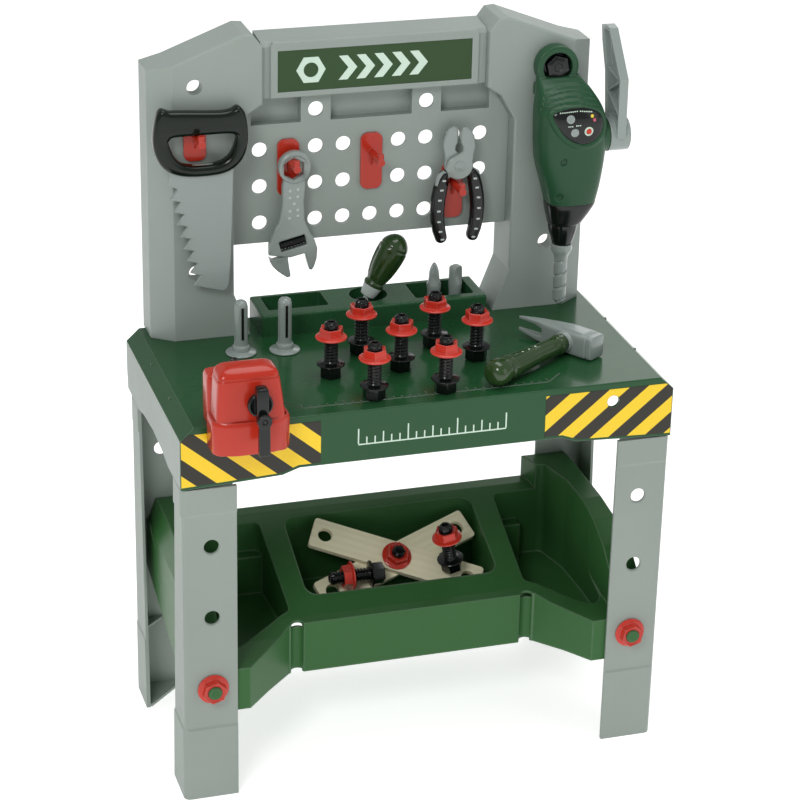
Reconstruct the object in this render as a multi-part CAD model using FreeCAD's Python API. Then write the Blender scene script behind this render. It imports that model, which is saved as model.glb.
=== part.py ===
import FreeCAD, Part
import math
import os

V = FreeCAD.Vector

# Toy tool bench, in millimetres. X runs to the right, Y to the back, Z up.
# The floor is Z = 0, the bench is centred on X = 0 and its front apron is the plane Y = 0.

half_width = 300.0          # half of the worktop's width
bench_depth = 300.0         # front apron to rear skirt
top_z = 492.0               # height of the work surface
wall = 4.0                  # wall of the moulded worktop and frames
apron_low_z = 428.0         # lower edge of the apron between its gussets
gusset_low_z = 415.0        # lower edge of the apron at the legs
leg_width = 66.0            # width of a leg's front plate
leg_rear_y = 282.0          # outer face of the rear legs
leg_hole_r = 9.0
leg_hole_x = 264.0
leg_hole_z = (149.5, 244.2, 337.7)
stud_r = 8.45               # threaded studs and bolts
nut_bore_r = 8.5            # running clearance on the studs
flange_r = 18.8             # flange of the red nuts
upright_front_y = 248.0
upright_back_y = 308.0
board_y = 269.6             # front face of the pegboard
peg_pitch_x = 34.75
peg_pitch_z = 46.4
peg_row_z = (627.7, 674.1, 720.5)
peg_hole_r = 9.5
hook_x = (-3 * peg_pitch_x, 0.0, 3 * peg_pitch_x)
peg_rise = 33.9             # height of a hook's peg above its lower plug
deck_y = 80.0               # front edge of the tray's sloping deck
deck_z = 174.0              # height of that edge
deck_slope = 0.38           # rise of the deck per millimetre towards the back
bin_floor_z = 144.0
mid_shift = 8.0             # how far the tray's middle sits to the right
vice_x = -219.0
screw_z = 536.0             # axis of the vice screw
drill_x = 234.0
drill_y = 220.0             # axis of the drill's bit
crank_z = 724.0             # axis of the drill's crank
plank_slope = math.degrees(math.atan(0.8))

parts = {}


def box(x0, x1, y0, y1, z0, z1):
    return Part.makeBox(x1 - x0, y1 - y0, z1 - z0, V(x0, y0, z0))


def rod(start, direction, radius, length):
    return Part.makeCylinder(radius, length, V(*start), V(*direction))


def prism(points, push):
    """Closed polygon pushed along a vector into a solid."""
    wire = Part.makePolygon([V(*p) for p in points] + [V(*points[0])])
    return Part.Face(wire).extrude(V(*push))


def prism_xz(points, y0, y1):
    return prism([(x, y0, z) for x, z in points], (0, y1 - y0, 0))


def prism_yz(points, x0, x1):
    return prism([(x0, y, z) for y, z in points], (x1 - x0, 0, 0))


def prism_xy(points, z0, z1):
    return prism([(x, y, z0) for x, y in points], (0, 0, z1 - z0))


def fuse(shapes):
    whole = shapes[0].multiFuse(shapes[1:]) if len(shapes) > 1 else shapes[0]
    return whole.removeSplitter()


def cut(shape, tools):
    return shape.cut(tools).removeSplitter()


def mirrored(shape):
    return shape.mirror(V(0, 0, 0), V(1, 0, 0))


def mirrored_pts(points):
    return [(-a, b) for a, b in reversed(points)]


def turned(points, centre, axis):
    """Solid of revolution: points are (radius, height along the axis)."""
    wire = Part.makePolygon([V(r, 0, h) for r, h in points] + [V(points[0][0], 0, points[0][1])])
    solid = Part.Face(wire).revolve(V(0, 0, 0), V(0, 0, 1), 360)
    return aimed(solid, centre, axis)


def aimed(shape, place, axis):
    """Turn a shape built along +Z so it points along an axis, then move it."""
    turn = FreeCAD.Rotation(V(0, 0, 1), V(*axis))
    shape.Placement = FreeCAD.Placement(V(*place), turn).multiply(shape.Placement)
    return shape


def hexagon(across_corners, z0, z1):
    r = across_corners / 2
    corners = [(r * math.cos(math.radians(60 * k)), r * math.sin(math.radians(60 * k))) for k in range(6)]
    return prism_xy(corners, z0, z1)


def rounded(shape, radius, test):
    """Fillet the edges whose centre passes the test; keep the plain shape if none do."""
    edges = [e for e in shape.Edges if test(e)]
    return shape.makeFillet(radius, edges) if edges else shape


def upright_edge(e):
    span = e.BoundBox
    return span.ZLength > 1 and span.XLength < 0.01 and span.YLength < 0.01


def group(shapes):
    return Part.makeCompound([s for shape in shapes for s in shape.Solids])


# ---------------------------------------------------------------- worktop

bevel = [(-half_width, 474.0), (-half_width, 477.0), (-284.0, top_z), (284.0, top_z), (half_width, 477.0),
         (half_width, 474.0)]
skin = prism_xz(bevel + [(295.0, 474.0), (295.0, 440.0), (-295.0, 440.0), (-295.0, 474.0)], 0, bench_depth)
hollow_pts = [(-291.0, 430.0), (-291.0, 477.0), (-282.0, top_z - wall), (282.0, top_z - wall), (291.0, 477.0),
              (291.0, 430.0)]
skin = skin.cut(prism_xz(hollow_pts, wall, bench_depth - wall))
apron_pts = [(-half_width, gusset_low_z), (-180.0, 421.0), (-160.0, apron_low_z), (160.0, apron_low_z),
             (180.0, 421.0), (half_width, gusset_low_z), (half_width, 477.0), (284.0, top_z), (-284.0, top_z),
             (-half_width, 477.0)]
apron = prism_xz(apron_pts, 0, wall)
ribs = [box(-291, 291, y - 1.5, y + 1.5, 462, top_z - wall) for y in (100, 200)]
ribs += [box(x - 1.5, x + 1.5, wall, bench_depth - wall, 462, top_z - wall)
         for x in (-200, -100, 0, 100, 200)]
worktop = fuse([skin, apron] + ribs)
worktop = cut(worktop, [rod((x, -1, 468), (0, 1, 0), 7.5, 6) for x in (-224, 224)])
grooves = [box(-150, 150, 21, 23, top_z - 0.8, top_z + 1)]
grooves += [box(x - 0.6, x + 0.6, 23, 33 if k % 5 == 0 else 28, top_z - 0.8, top_z + 1)
            for k, x in enumerate(range(-150, 151, 10))]
for side in (-1, 1):
    grooves.append(prism([(side * 150, 21, top_z - 0.8), (side * 150, 23, top_z - 0.8),
                          (side * 171, 44, top_z - 0.8), (side * 171, 42, top_z - 0.8)], (0, 0, 2)))
worktop = cut(worktop, grooves)
parts["worktop"] = rounded(worktop, 1.5, lambda e: abs(e.BoundBox.ZMin - top_z) < 0.01
                           and e.BoundBox.ZLength < 0.01 and e.Length > 250
                           and abs(e.BoundBox.YMax - 0) < 0.01)

# Grey side rails hang under the worktop's bevel, with a shallow arch between the legs.
rail_pts = [(4.2, 474.0), (4.2, 415.5), (66.0, 414.5), (100.0, 421.0), (150.0, 424.5), (200.0, 421.0),
            (234.0, 414.5), (296.0, 415.5), (bench_depth, 440.0), (bench_depth, 474.0)]
rail = prism_yz(rail_pts, -half_width, -295.0)
parts["side_rail_left"] = rail
parts["side_rail_right"] = mirrored(rail)

# ---------------------------------------------------------------- legs


def leg():
    """Left front leg: an L-shaped section with a proud foot and collar and a webbed foot."""
    edge = leg_width - half_width
    plan = prism_xy([(-300, 0), (edge, 0), (edge, 60), (-300, 60)], 0, 414)
    plan = rounded(plan, 8, lambda e: upright_edge(e) and e.BoundBox.XMax < -299 and e.BoundBox.YMax < 1)
    front = [(0, 0), (0, 95), (1.5, 98), (1.5, 379), (0, 382), (0, 414), (60, 414), (60, 98), (62, 95),
             (62, 0)]
    column = plan.common(prism_yz(front, -310, -230))
    side = [(-300, 0), (-300, 95), (-298.6, 98), (-298.6, 379), (-300, 382), (-300, 414), (-230, 414),
            (-230, 0)]
    column = column.common(prism_xz(side, -5, 70))
    inside = prism_xy([(-295, 5.2), (-230, 5.2), (-230, 64), (-295, 64)], -1, 420)
    inside = rounded(inside, 4, lambda e: upright_edge(e) and e.BoundBox.XMax < -294 and e.BoundBox.YMax < 6)
    column = column.cut(inside)
    taper = prism_yz([(62, -1), (62, 420), (40, 420), (60, -1)], -305, -294)
    column = column.cut(taper)
    foot = prism_xy([(-296, 3), (-238, 3), (-238, 6), (-292, 58), (-296, 58)], 0, 4)
    rib = prism_xy([(-296, 4), (-262, 4), (-296, 34)], 98, 101)
    shelf = box(-294.5, -238, 4.4, 9, 404, 409)
    tongue = box(-290.6, -238, 4.4, 8, 404, 470)
    stem = box(-290.6, -287, 6, 38, 404, 470)
    stem_foot = box(-296, -287, 6, 38, 404, 409)
    whole = fuse([column, foot, rib, shelf, tongue, stem, stem_foot])
    holes = []
    for z in leg_hole_z:
        holes.append(rod((-leg_hole_x, -1, z), (0, 1, 0), leg_hole_r, 8))
        holes.append(Part.makeCone(leg_hole_r + 1.5, leg_hole_r, 1.5, V(-leg_hole_x, 1.4, z), V(0, 1, 0)))
    return cut(whole, holes)


front_leg = leg()
rear_leg = front_leg.mirror(V(0, leg_rear_y / 2, 0), V(0, 1, 0))
parts["leg_front_left"] = front_leg
parts["leg_front_right"] = mirrored(front_leg)
parts["leg_rear_left"] = rear_leg
parts["leg_rear_right"] = mirrored(rear_leg)

# ---------------------------------------------------------------- nuts, bolts and nails


def threaded(length, chamfer=1.5, pitch=4.0, radius=stud_r):
    """Profile of a coarse thread drawn as rings, from height 0 up to length."""
    pts = [(0, 0), (radius, 0)]
    h = 1.0
    while h + pitch < length - chamfer:
        pts += [(radius, h), (radius - 1.0, h + 1.0), (radius - 1.0, h + 2.0), (radius, h + 3.0)]
        h += pitch
    return pts + [(radius, length - chamfer), (radius - chamfer, length), (0, length)]


def nut(place, axis, bore=nut_bore_r):
    """Flanged hexagon nut: a domed flange with a hexagon above it, 18 tall."""
    flange = turned([(bore, 0), (flange_r, 0), (flange_r, 2.0), (16.0, 5.0), (13.5, 6.0), (bore, 6.0)],
                    (0, 0, 0), (0, 0, 1))
    hexa = hexagon(28.0, 5.0, 18.0)
    crown = turned([(0, 4), (14.2, 4), (14.2, 15.5), (12.2, 18), (0, 18)], (0, 0, 0), (0, 0, 1))
    body = hexa.common(crown).cut(rod((0, 0, -1), (0, 0, 1), bore, 30))
    return aimed(fuse([flange, body]), place, axis)


def bolt(place, axis):
    """Toy bolt standing on its head: hexagon head, flange, coarse thread and a socket in the tip."""
    head = hexagon(27.0, 0, 15.0).common(turned([(0, 0), (12.4, 0), (13.6, 2), (13.6, 15), (0, 15)],
                                                (0, 0, 0), (0, 0, 1)))
    notches = [box(-1.6, 1.6, -14, 14, -1, 3), box(-14, 14, -1.6, 1.6, -1, 3)]
    flange = turned([(0, 15), (16.8, 15), (16.8, 17), (14, 18.5), (0, 18.5)], (0, 0, 0), (0, 0, 1))
    shank = turned(threaded(52.0), (0, 0, 18.0), (0, 0, 1))
    whole = fuse([cut(head, notches), flange, shank])
    whole = whole.cut(hexagon(8.0, 66.0, 71.0))
    return aimed(whole, place, axis)


def nail(place):
    """Toy nail standing on its head: broad disc, collar, slotted shank and a round tip."""
    shape = turned([(0, 0), (18.5, 0), (18.5, 2.2), (17, 3.2), (10.5, 4), (10.5, 10), (8.5, 12), (8.5, 58),
                    (7.6, 64), (4.5, 68.2), (0, 69)], (0, 0, 0), (0, 0, 1))
    slot = box(-1.6, 1.6, -12, 12, 22, 60)
    return aimed(cut(shape, [slot]), place, (0, 0, 1))


bolt_places = [(-95, 102), (-41, 160), (-63, 30), (-9, 101), (51, 159), (23, 28), (88, 109)]
nail_places = [(-181, 195), (-128, 190)]
bolt_base = top_z + 0.05
nut_height = 49.0
parts["bench_bolts"] = group([bolt((x, y, bolt_base), (0, 0, 1)) for x, y in bolt_places])
parts["bench_nuts"] = group([nut((x, y, bolt_base + nut_height), (0, 0, 1)) for x, y in bolt_places])
parts["nails"] = group([nail((x, y, bolt_base)) for x, y in nail_places])

# ---------------------------------------------------------------- tray


def deck_height(y):
    return deck_z + deck_slope * (y - deck_y)


def tray_outer(shrink):
    """Outside of the tray, or with a shrink, the hollow under it."""
    s = shrink
    inset = 158 + 0.4 * s
    plan = [(-285 + s, 6 + s), (-217 - 0.4 * s, 6 + s), (mid_shift - inset, deck_y + s),
            (mid_shift + inset, deck_y + s), (217 + 0.4 * s, 6 + s), (285 - s, 6 + s), (285 - s, 276 - s),
            (-285 + s, 276 - s)]
    low = -40 if s else 0
    deck = [(0, 113 + low), (40, 112 + low), (deck_y, 108 + low), (290, 108 + low),
            (290, deck_height(257) - s), (257, deck_height(257) - s),
            (deck_y + 12, deck_height(deck_y + 12) - s), (60, 172 - s), (0, 168 - s)]
    body = prism_xy(plan, 0, 400).common(prism_yz(deck, -300, 300))
    fence = [(0, 113 + low), (40, 112 + low), (deck_y, 108 + low), (290, 108 + low), (290, 268 - s),
             (262, 271 - s), (190, 271 - s), (140, 269 - s), (100, 259 - s), (66, 240 - s), (36, 212 - s),
             (14, 182 - s), (6, 168 - s), (0, 168 - s)]
    side = prism_xy([(250 + s, 6 + s), (285 - s, 6 + s), (285 - s, 276 - s), (214 + s, 276 - s),
                     (222 + s, 246 - s), (246 + s, 180)], 0, 400).common(prism_yz(fence, 0, 300))
    return body, side


def tray_part():
    body, side = tray_outer(0)
    side_cap = prism_xz([(200, 0), (200, 300), (262, 300), (284, 238), (285.5, 205), (285.5, 0)], -5, 300)
    side = side.common(side_cap)
    outer = body.multiFuse([side, mirrored(side)]).removeSplitter()
    body_in, side_in = tray_outer(3.0)
    cap_in = prism_xz([(190, 0), (190, 297), (259, 297), (280.6, 236), (282, 203), (282, 0)], -5, 300)
    side_in = side_in.common(cap_in)
    shell = outer.cut(body_in.multiFuse([side_in, mirrored(side_in)]))
    m = mid_shift
    centre = [(m - 124, 122), (m + 124, 122), (m + 124, 245), (m - 124, 245)]
    right = [(m + 152, 104), (m + 168, 96), (222, 50), (236, 44), (246, 60), (248, 120), (246, 190),
             (234, 244), (m + 156, 244)]
    left = [(m - 152, 104), (m - 168, 96), (-222, 50), (-236, 44), (-246, 60), (-248, 120), (-246, 190),
            (-234, 244), (m - 156, 244)]
    hollows = []
    walls = []
    for plan, radius in ((centre, 16), (right, 9), (left[::-1], 9)):
        hollow = rounded(prism_xy(plan, bin_floor_z, 300), radius, upright_edge)
        grown = [(x + (3 if x > sum(p[0] for p in plan) / len(plan) else -3),
                  y + (3 if y > sum(p[1] for p in plan) / len(plan) else -3)) for x, y in plan]
        walls.append(rounded(prism_xy(grown, bin_floor_z - 3, 300), radius + 1, upright_edge).common(outer))
        hollows.append(hollow)
    for k, x in ((1, m + 171), (2, m - 171)):
        hollows[k] = hollows[k].cut(box(x - 19, x + 19, 226, 246, bin_floor_z, 196))
    pads = []
    for side_sign in (-1, 1):
        x = side_sign * leg_hole_x
        pads.append(rod((x, 5.6, leg_hole_z[0]), (0, 1, 0), 14, 8))
        pads.append(rod((x, 276.4, leg_hole_z[1]), (0, -1, 0), 14, 8))
    tray = fuse([shell] + walls + pads)
    side_arch = prism_yz([(60, 90), (60, 116), (140, 138), (280, 178), (290, 178), (290, 90)], 252, 300)
    tray = tray.cut(hollows + [side_arch, mirrored(side_arch)])
    return tray, outer


tray, tray_block = tray_part()
groove_x = (mid_shift - 148, mid_shift + 148)
groove_walls = [rod((x, deck_y - 2, 111), (0, 0, 1), 11.5, 58).common(tray_block) for x in groove_x]
groove_cuts = [rod((x, deck_y - 2, 90), (0, 0, 1), 8.5, 94) for x in groove_x]
parts["tray"] = cut(fuse([tray] + groove_walls), groove_cuts)

studs = []
tray_nuts = []
for sx in (-1, 1):
    x = sx * leg_hole_x
    studs.append(turned(threaded(18.0), (x, 5.6, leg_hole_z[0]), (0, -1, 0)))
    studs.append(turned(threaded(21.0), (x, 276.4, leg_hole_z[1]), (0, 1, 0)))
    tray_nuts.append(nut((x, 1.4, leg_hole_z[0]), (0, -1, 0)))
    tray_nuts.append(nut((x, leg_rear_y - 1.4, leg_hole_z[1]), (0, 1, 0)))
parts["tray_studs"] = group(studs)
parts["tray_nuts"] = group(tray_nuts)

# ---------------------------------------------------------------- labels on the apron

right_label = [(139.0, 484.0), (139.0, 431.5), (161.0, 431.5), (181.0, 424.0), (299.0, 418.5), (299.0, 476.5),
               (291.0, 484.0)]
hole_right = rod((224, -2, 468), (0, 1, 0), 8.0, 6)
label = prism_xz(right_label, -0.4, -0.02).cut(hole_right)
parts["hazard_label_right"] = label
left_label = [(-135.0, 484.0), (-135.0, 431.5), (-161.0, 431.5), (-181.0, 424.0), (-299.0, 418.5),
              (-299.0, 476.5), (-291.0, 484.0)]
hole_left = rod((-224, -2, 468), (0, 1, 0), 8.0, 6)
parts["hazard_label_left"] = prism_xz(left_label, -0.4, -0.02).cut(hole_left)
marks = [box(-90, 90, -0.4, -0.02, 448, 449.6)]
marks += [box(-90 + 10 * k - 0.8, -90 + 10 * k + 0.8, -0.4, -0.02, 449.6, 469 if k % 6 == 0 else 463
              if k % 3 == 0 else 458) for k in range(19)]
parts["ruler_scale"] = fuse(marks)

# ---------------------------------------------------------------- tool rack

rack = box(-144, 144, 235, 304, top_z + 0.02, 519)
rack = rounded(rack, 3, lambda e: upright_edge(e) or e.BoundBox.ZMin > 518)
rack_hollows = [box(-132, -55, 253, 298, 495, 530), box(55, 131, 247, 296, 495, 530)]
rack_hollows = [rounded(h, 4, upright_edge) for h in rack_hollows]
rack_hollows.append(rod((1, 275, 494), (0, 0, 1), 24, 40))
parts["tool_rack"] = rack.cut(rack_hollows)

# ---------------------------------------------------------------- uprights


def upright():
    """Right upright: a deep moulded shell, bevelled on its outer side and open at the back."""
    z0 = top_z + 0.02
    outline = [(276.5, z0), (276.5, 831.0), (250.0, 838.0), (164.0, 871.0), (152.0, 870.0), (140.0, 854.0),
               (140.0, 784.0), (158.0, 772.0), (176.0, 741.0), (176.0, 545.0), (156.0, z0)]
    inner = [(272.5, z0 + 4), (272.5, 827.9), (248.8, 834.1), (163.5, 866.6), (154.0, 865.8), (144.0, 852.6),
             (144.0, 786.2), (161.0, 774.9), (180.0, 742.1), (180.0, 544.2), (162.0, z0 + 4)]
    solid = prism_xz(outline, upright_front_y, upright_back_y)
    bevel_out = prism_xy([(250, 240), (280, 240), (280, 269.5), (276.5, 267), (250, upright_front_y)], 480,
                         900)
    bevel_in = prism_xy([(240, 240), (280, 240), (280, 276), (272.5, 269.3), (248.4, 252)], 480, 900)
    solid = rounded(solid, 3, lambda e: e.BoundBox.YMax < upright_front_y + 0.01 and e.BoundBox.ZMin > 500
                    and e.BoundBox.XMin < 262)
    solid = solid.cut(bevel_out)
    cavity = prism_xz(inner, upright_front_y + 4, upright_back_y + 1).cut(bevel_in)
    shell = solid.cut(cavity)
    braces = [box(176.5, 275.5, 254, 304, z, z + 3).common(prism_xz(inner, 250, 305))
              for z in (545, 640, 735)]
    braces = [b.cut(bevel_out).cut(bevel_in) for b in braces]
    collars = [rod((222.5, 250, z), (0, 1, 0), 13, 16) for z in (579, 811)]
    whole = fuse([shell] + braces + collars)
    whole = cut(whole, [rod((222.5, 240, z), (0, 1, 0), 9.5, 40) for z in (579, 811)])
    return whole


right_upright = upright()
parts["upright_right"] = right_upright
hook_sockets = [rod((-223.5, 240, z), (0, 1, 0), 4.05, 20) for z in (738.0, 766.0)]
parts["upright_left"] = cut(mirrored(right_upright), hook_sockets)

# ---------------------------------------------------------------- pegboard, header and sign

board_pts = [(-175.9, 602), (175.9, 602), (175.9, 741), (157.9, 771.8), (139.9, 783.8), (139.9, 787.9),
             (-139.9, 787.9), (-139.9, 783.8), (-157.9, 771.8), (-175.9, 741)]
board = prism_xz(board_pts, board_y, 292.0)
back_hollow = [(-172, 606), (172, 606), (172, 739), (155, 768), (137, 780), (137, 784), (-137, 784),
               (-137, 780), (-155, 768), (-172, 739)]
board = board.cut(prism_xz(back_hollow, board_y + 4, 300))
pockets = []
pocket_backs = []
for x0, x1 in ((-150, -88), (-51, 51), (88, 150)):
    pocket = box(x0, x1, board_y - 1, 284, 752, 795).common(prism_xz(board_pts, board_y - 2, 300))
    pockets.append(pocket)
    shell = box(x0 - 3, x1 + 3, board_y, 287, 749, 795).common(prism_xz(board_pts, board_y, 300))
    pocket_backs.append(shell)
board = fuse([board] + pocket_backs).cut(pockets)
peg_holes = [rod((x * peg_pitch_x, board_y - 2, z), (0, 1, 0), peg_hole_r, 12) for x in range(-4, 5)
             for z in peg_row_z]
peg_holes += [rod((x, board_y - 2, 767.0), (0, 1, 0), peg_hole_r, 12) for x in (-69.5, 69.5)]
parts["pegboard"] = cut(board, peg_holes)

header_block = prism_yz([(258, 788.1), (258, 851), (262, 856), (300, 860), (300, 788.1)], -139.9, 139.9)
frame = prism_xz([(-129.5, 788.1), (129.5, 788.1), (129.5, 852), (126, 857), (-126, 857), (-129.5, 852)], 254,
                 262)
header_shape = fuse([header_block, frame])
header_shape = rounded(header_shape, 1.5, lambda e: e.BoundBox.YMax < 254.01)
header_hollow = prism_yz([(262, 792), (262, 849), (265, 852.5), (301, 856), (301, 792)], -136, 136)
recess = box(-120.7, 120.7, 250, 256, 795.4, 846.2)
parts["header"] = cut(header_shape, [header_hollow, recess])
parts["sign_plate"] = box(-120.5, 120.5, 254.8, 256, 795.6, 846.0)
chevrons = []
for k in range(5):
    x = -46 + 22 * k
    chevrons.append(prism_xz([(x, 806), (x + 12, 820.8), (x, 835.6), (x + 11, 835.6), (x + 23, 820.8),
                              (x + 11, 806)], 254.3, 254.8))
parts["sign_chevrons"] = group(chevrons)
nut_mark = hexagon(36, 0, 0.5).cut(rod((0, 0, -1), (0, 0, 1), 9, 3))
nut_mark = aimed(nut_mark, (-80, 254.8, 820.8), (0, -1, 0))
parts["sign_nut_mark"] = nut_mark

# ---------------------------------------------------------------- hooks


def hook(x, y, low, high, peg_at, reach):
    """Red hook plate against a face at y: rounded ends, a gusset, and a forward peg with an upturned tip."""
    r = 13.5
    plate = box(x - r, x + r, y - 3.5, y - 0.02, low + 9, high - 9)
    plate = plate.fuse(box(x - r + 9, x + r - 9, y - 3.5, y - 0.02, low, high))
    for sx in (-1, 1):
        for z in (low + 9, high - 9):
            plate = plate.fuse(rod((x + sx * (r - 9), y - 3.5, z), (0, 1, 0), 9, 3.48))
    peg = rod((x, y - 2, peg_at), (0, -1, 0), 4.5, reach)
    tip = rod((x, y - 2 - reach + 4, peg_at), (0, 0, 1), 4.0, 10)
    gusset = prism_yz([(y - 3, peg_at), (y - 3, peg_at - 17), (y - 13, peg_at)], x - 1.5, x + 1.5)
    return fuse([plate, peg, tip, gusset])


hooks = []
for x, rows in zip(hook_x, (peg_row_z[1:], peg_row_z[1:], peg_row_z[:2])):
    shape = hook(x, board_y, rows[0] - 13, rows[1] + 12, rows[0] + peg_rise, 44.0)
    plugs = [rod((x, board_y - 3, z), (0, 1, 0), 9.3, 9) for z in rows]
    hooks.append(fuse([shape] + plugs))
saw_hook = hook(-223.5, upright_front_y, 722.0, 777.0, 754.0, 40.0)
pins = [rod((-223.5, upright_front_y - 3, z), (0, 1, 0), 4.0, 12) for z in (738.0, 766.0)]
hooks.append(fuse([saw_hook] + pins))
parts["tool_hooks"] = group(hooks)
parts["drill_hanger_bolt"] = bolt((222.5, 229.2, 811.0), (0, 1, 0))

# ---------------------------------------------------------------- vice

collar = prism_xy([(-271, -0.6), (-271, -36), (-262, -44), (-244, -47), (-198, -47), (-186, -44), (-180, -38),
                   (-180, -0.6)], 474, 514)
tower = box(-267, -187, -40, -0.6, 474, 574)
tower = rounded(tower, 9, lambda e: e.BoundBox.YMax < -39 and e.BoundBox.ZMax > 480 or e.BoundBox.ZMin > 573)
base = fuse([collar, tower])
base_hollow = box(-263, -191, -36, -5, 460, 568)
stud = rod((-224, -6, 468), (0, 1, 0), 7.2, 18)
boss = rod((vice_x, -38, screw_z), (0, 1, 0), 11, 37.4)
lug = box(-234, -214, -6, -0.6, 458, 480)
base = fuse([base.cut(base_hollow), boss, lug, stud])
base = cut(base, [rod((vice_x, -60, screw_z), (0, 1, 0), 6.1, 80)])
parts["vice_base"] = base

jaw = box(-267, -188, 2, 34, top_z + 0.3, 553)
jaw = rounded(jaw, 5, lambda e: e.BoundBox.ZMin > 552 or upright_edge(e) and e.BoundBox.YMin > 30)
jaw_teeth = [box(-262, -193, 1, 3, z, z + 1.6) for z in range(500, 550, 6)]
jaw = cut(jaw, jaw_teeth + [rod((vice_x, -1, screw_z), (0, 1, 0), 6.1, 40)])
parts["vice_jaw"] = jaw

screw = turned([(0, 0)] + threaded(122.0, 1.0, 4.0, 6.05)[1:], (vice_x, -48, screw_z), (0, 1, 0))
hub = rod((vice_x, -47.2, screw_z), (0, -1, 0), 14.5, 6)
lever = box(vice_x - 7, vice_x + 7, -64, -52, 524, 560)
lever = rounded(lever, 3, lambda e: e.BoundBox.YLength > 11 and e.BoundBox.ZMin > 550)
neck = rod((vice_x, -47, screw_z), (0, 1, 0), 6.05, 10)
knuckle_pin = rod((vice_x, -72, 524), (0, 1, 0), 3.0, 12)
parts["vice_screw"] = fuse([screw, neck, hub, lever, knuckle_pin])
bar_head = rod((vice_x, -72, 524), (0, 1, 0), 8.5, 7.8)
bar = box(vice_x - 6.5, vice_x + 6.5, -71.5, -64.5, 481, 522)
bar = fuse([bar_head, bar])
parts["vice_bar"] = bar.cut(rod((vice_x, -73, 524), (0, 1, 0), 3.05, 10))

# ---------------------------------------------------------------- saw

saw_outline = [(-277, 752), (-274, 780), (-267, 793), (-256, 790), (-240, 789), (-200, 786), (-184, 787),
               (-174, 791), (-166, 780), (-163, 752), (-168, 730), (-180, 716), (-200, 709), (-235, 709),
               (-258, 716), (-271, 730)]
saw_hole = [(-258, 752), (-256, 759), (-180, 759), (-177, 750), (-184, 731), (-200, 721.5), (-235, 721.5),
            (-250, 731)]


def smooth_loop(points, y):
    curve = Part.BSplineCurve()
    curve.interpolate([V(x, y, z) for x, z in points], PeriodicFlag=True)
    return Part.Wire(curve.toShape())


def smooth_plate(points, y0, y1):
    return Part.Face(smooth_loop(points, y0)).extrude(V(0, y1 - y0, 0))


def cushion(points, y0, y1, edge):
    """Smooth outlined plate whose rim is bevelled by an edge on both faces."""
    xs = [x for x, z in points]
    zs = [z for x, z in points]
    cx = (min(xs) + max(xs)) / 2
    cz = (min(zs) + max(zs)) / 2
    fx = 1 - 2 * edge / (max(xs) - min(xs))
    fz = 1 - 2 * edge / (max(zs) - min(zs))
    small = [(cx + (x - cx) * fx, cz + (z - cz) * fz) for x, z in points]
    loops = [smooth_loop(small, y0), smooth_loop(points, y0 + edge), smooth_loop(points, y1 - edge),
             smooth_loop(small, y1)]
    return Part.makeLoft(loops, True, True)


handle = cushion(saw_outline, 225, 240, 3)
opening = rounded(prism_xz(saw_hole, 220, 245), 5, lambda e: e.BoundBox.YLength > 20
                  and e.BoundBox.XLength < 0.1)
blade = [(-262, 722), (-180, 722), (-184, 600), (-187, 566), (-194, 560), (-222, 568)]
steps = 8
for k in range(steps):
    x = -225 - 3.9 * k
    z = 570 + 15.8 * k
    blade += [(x - 4.2, z + 0.5), (x + 4.2, z + 12.5)]
blade += [(-258, 700), (-256, 712)]
blade_shape = prism_xz(blade, 230.0, 235.0)
parts["saw_blade"] = blade_shape.cut(box(-280, -160, 220, 250, 720, 730))
parts["saw_handle"] = handle.cut([opening, parts["saw_blade"]])

# ---------------------------------------------------------------- adjustable wrench

wy0, wy1 = 249.0, 259.0
head_tilt = 13.0            # the wrench's jaws stand this much out of square to its handle
worm_at = V(-102.4, 254, 605)


def tipped(shape):
    """Shapes are drawn around the worm's centre with the jaws square, then turned and put in place."""
    shape.rotate(V(0, 0, 0), V(0, 1, 0), -head_tilt)
    shape.translate(worm_at)
    return shape


ring = rod((-100, wy0, 702), (0, 1, 0), 20, wy1 - wy0)
grip = prism_xz([(-115, 704), (-86, 704), (-89, 660), (-88, 634), (-82, 620), (-74.8, 607), (-71.5, 596),
                 (-72, 584), (-77, 574), (-80, 568), (-82, 570), (-87, 591), (-106, 587), (-131.5, 590),
                 (-132, 604), (-127, 616), (-119, 632), (-115.5, 655)], wy0, wy1)
wrench = fuse([ring, grip])
hang_hole = prism_xz([(-101.5 + 14.9 * math.cos(math.radians(60 * k + 30)),
                       700 + 14.9 * math.sin(math.radians(60 * k + 30))) for k in range(6)], 240, 270)
dimple_places = [(-106.5, 673), (-96.5, 674), (-106.5, 664), (-97.0, 665), (-101.5, 656), (-106.5, 647),
                 (-97, 648), (-107.0, 638), (-96.5, 640)]
dimples = [rod((x, wy0 - 1, z), (0, 1, 0), 1.7, 2.2) for x, z in dimple_places]
window = tipped(box(-16.5, 16.5, -14, 14, -7, 7))
jaw_slot = tipped(box(-36, 22, -2, 2, -14, -6.9))
jaw_space = tipped(box(-45, 15.4, -14, 14, -60, -13.4))
worm_bore = tipped(rod((-22, 0, 0), (1, 0, 0), 2.05, 44))
parts["wrench_body"] = cut(wrench, [hang_hole, window, jaw_slot, jaw_space, worm_bore] + dimples)
jaw_bar = tipped(box(-24, 8, -1.9, 1.9, -13.5, -7.1))
jaw_tip = prism_xz([(-131, 584), (-124.6, 574), (-114.5, 565), (-108, 561.5), (-105, 564), (-108.5, 586),
                    (-109, 600), (-131, 600)], wy0, wy1)
jaw_tip = jaw_tip.common(tipped(box(-45, 15, -14, 14, -60, -13.5)))
parts["wrench_jaw"] = fuse([jaw_bar, jaw_tip])
worm = turned([(0, 0), (5.4, 0), (5.4, 30), (0, 30)], (-15, 0, 0), (1, 0, 0))
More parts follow.
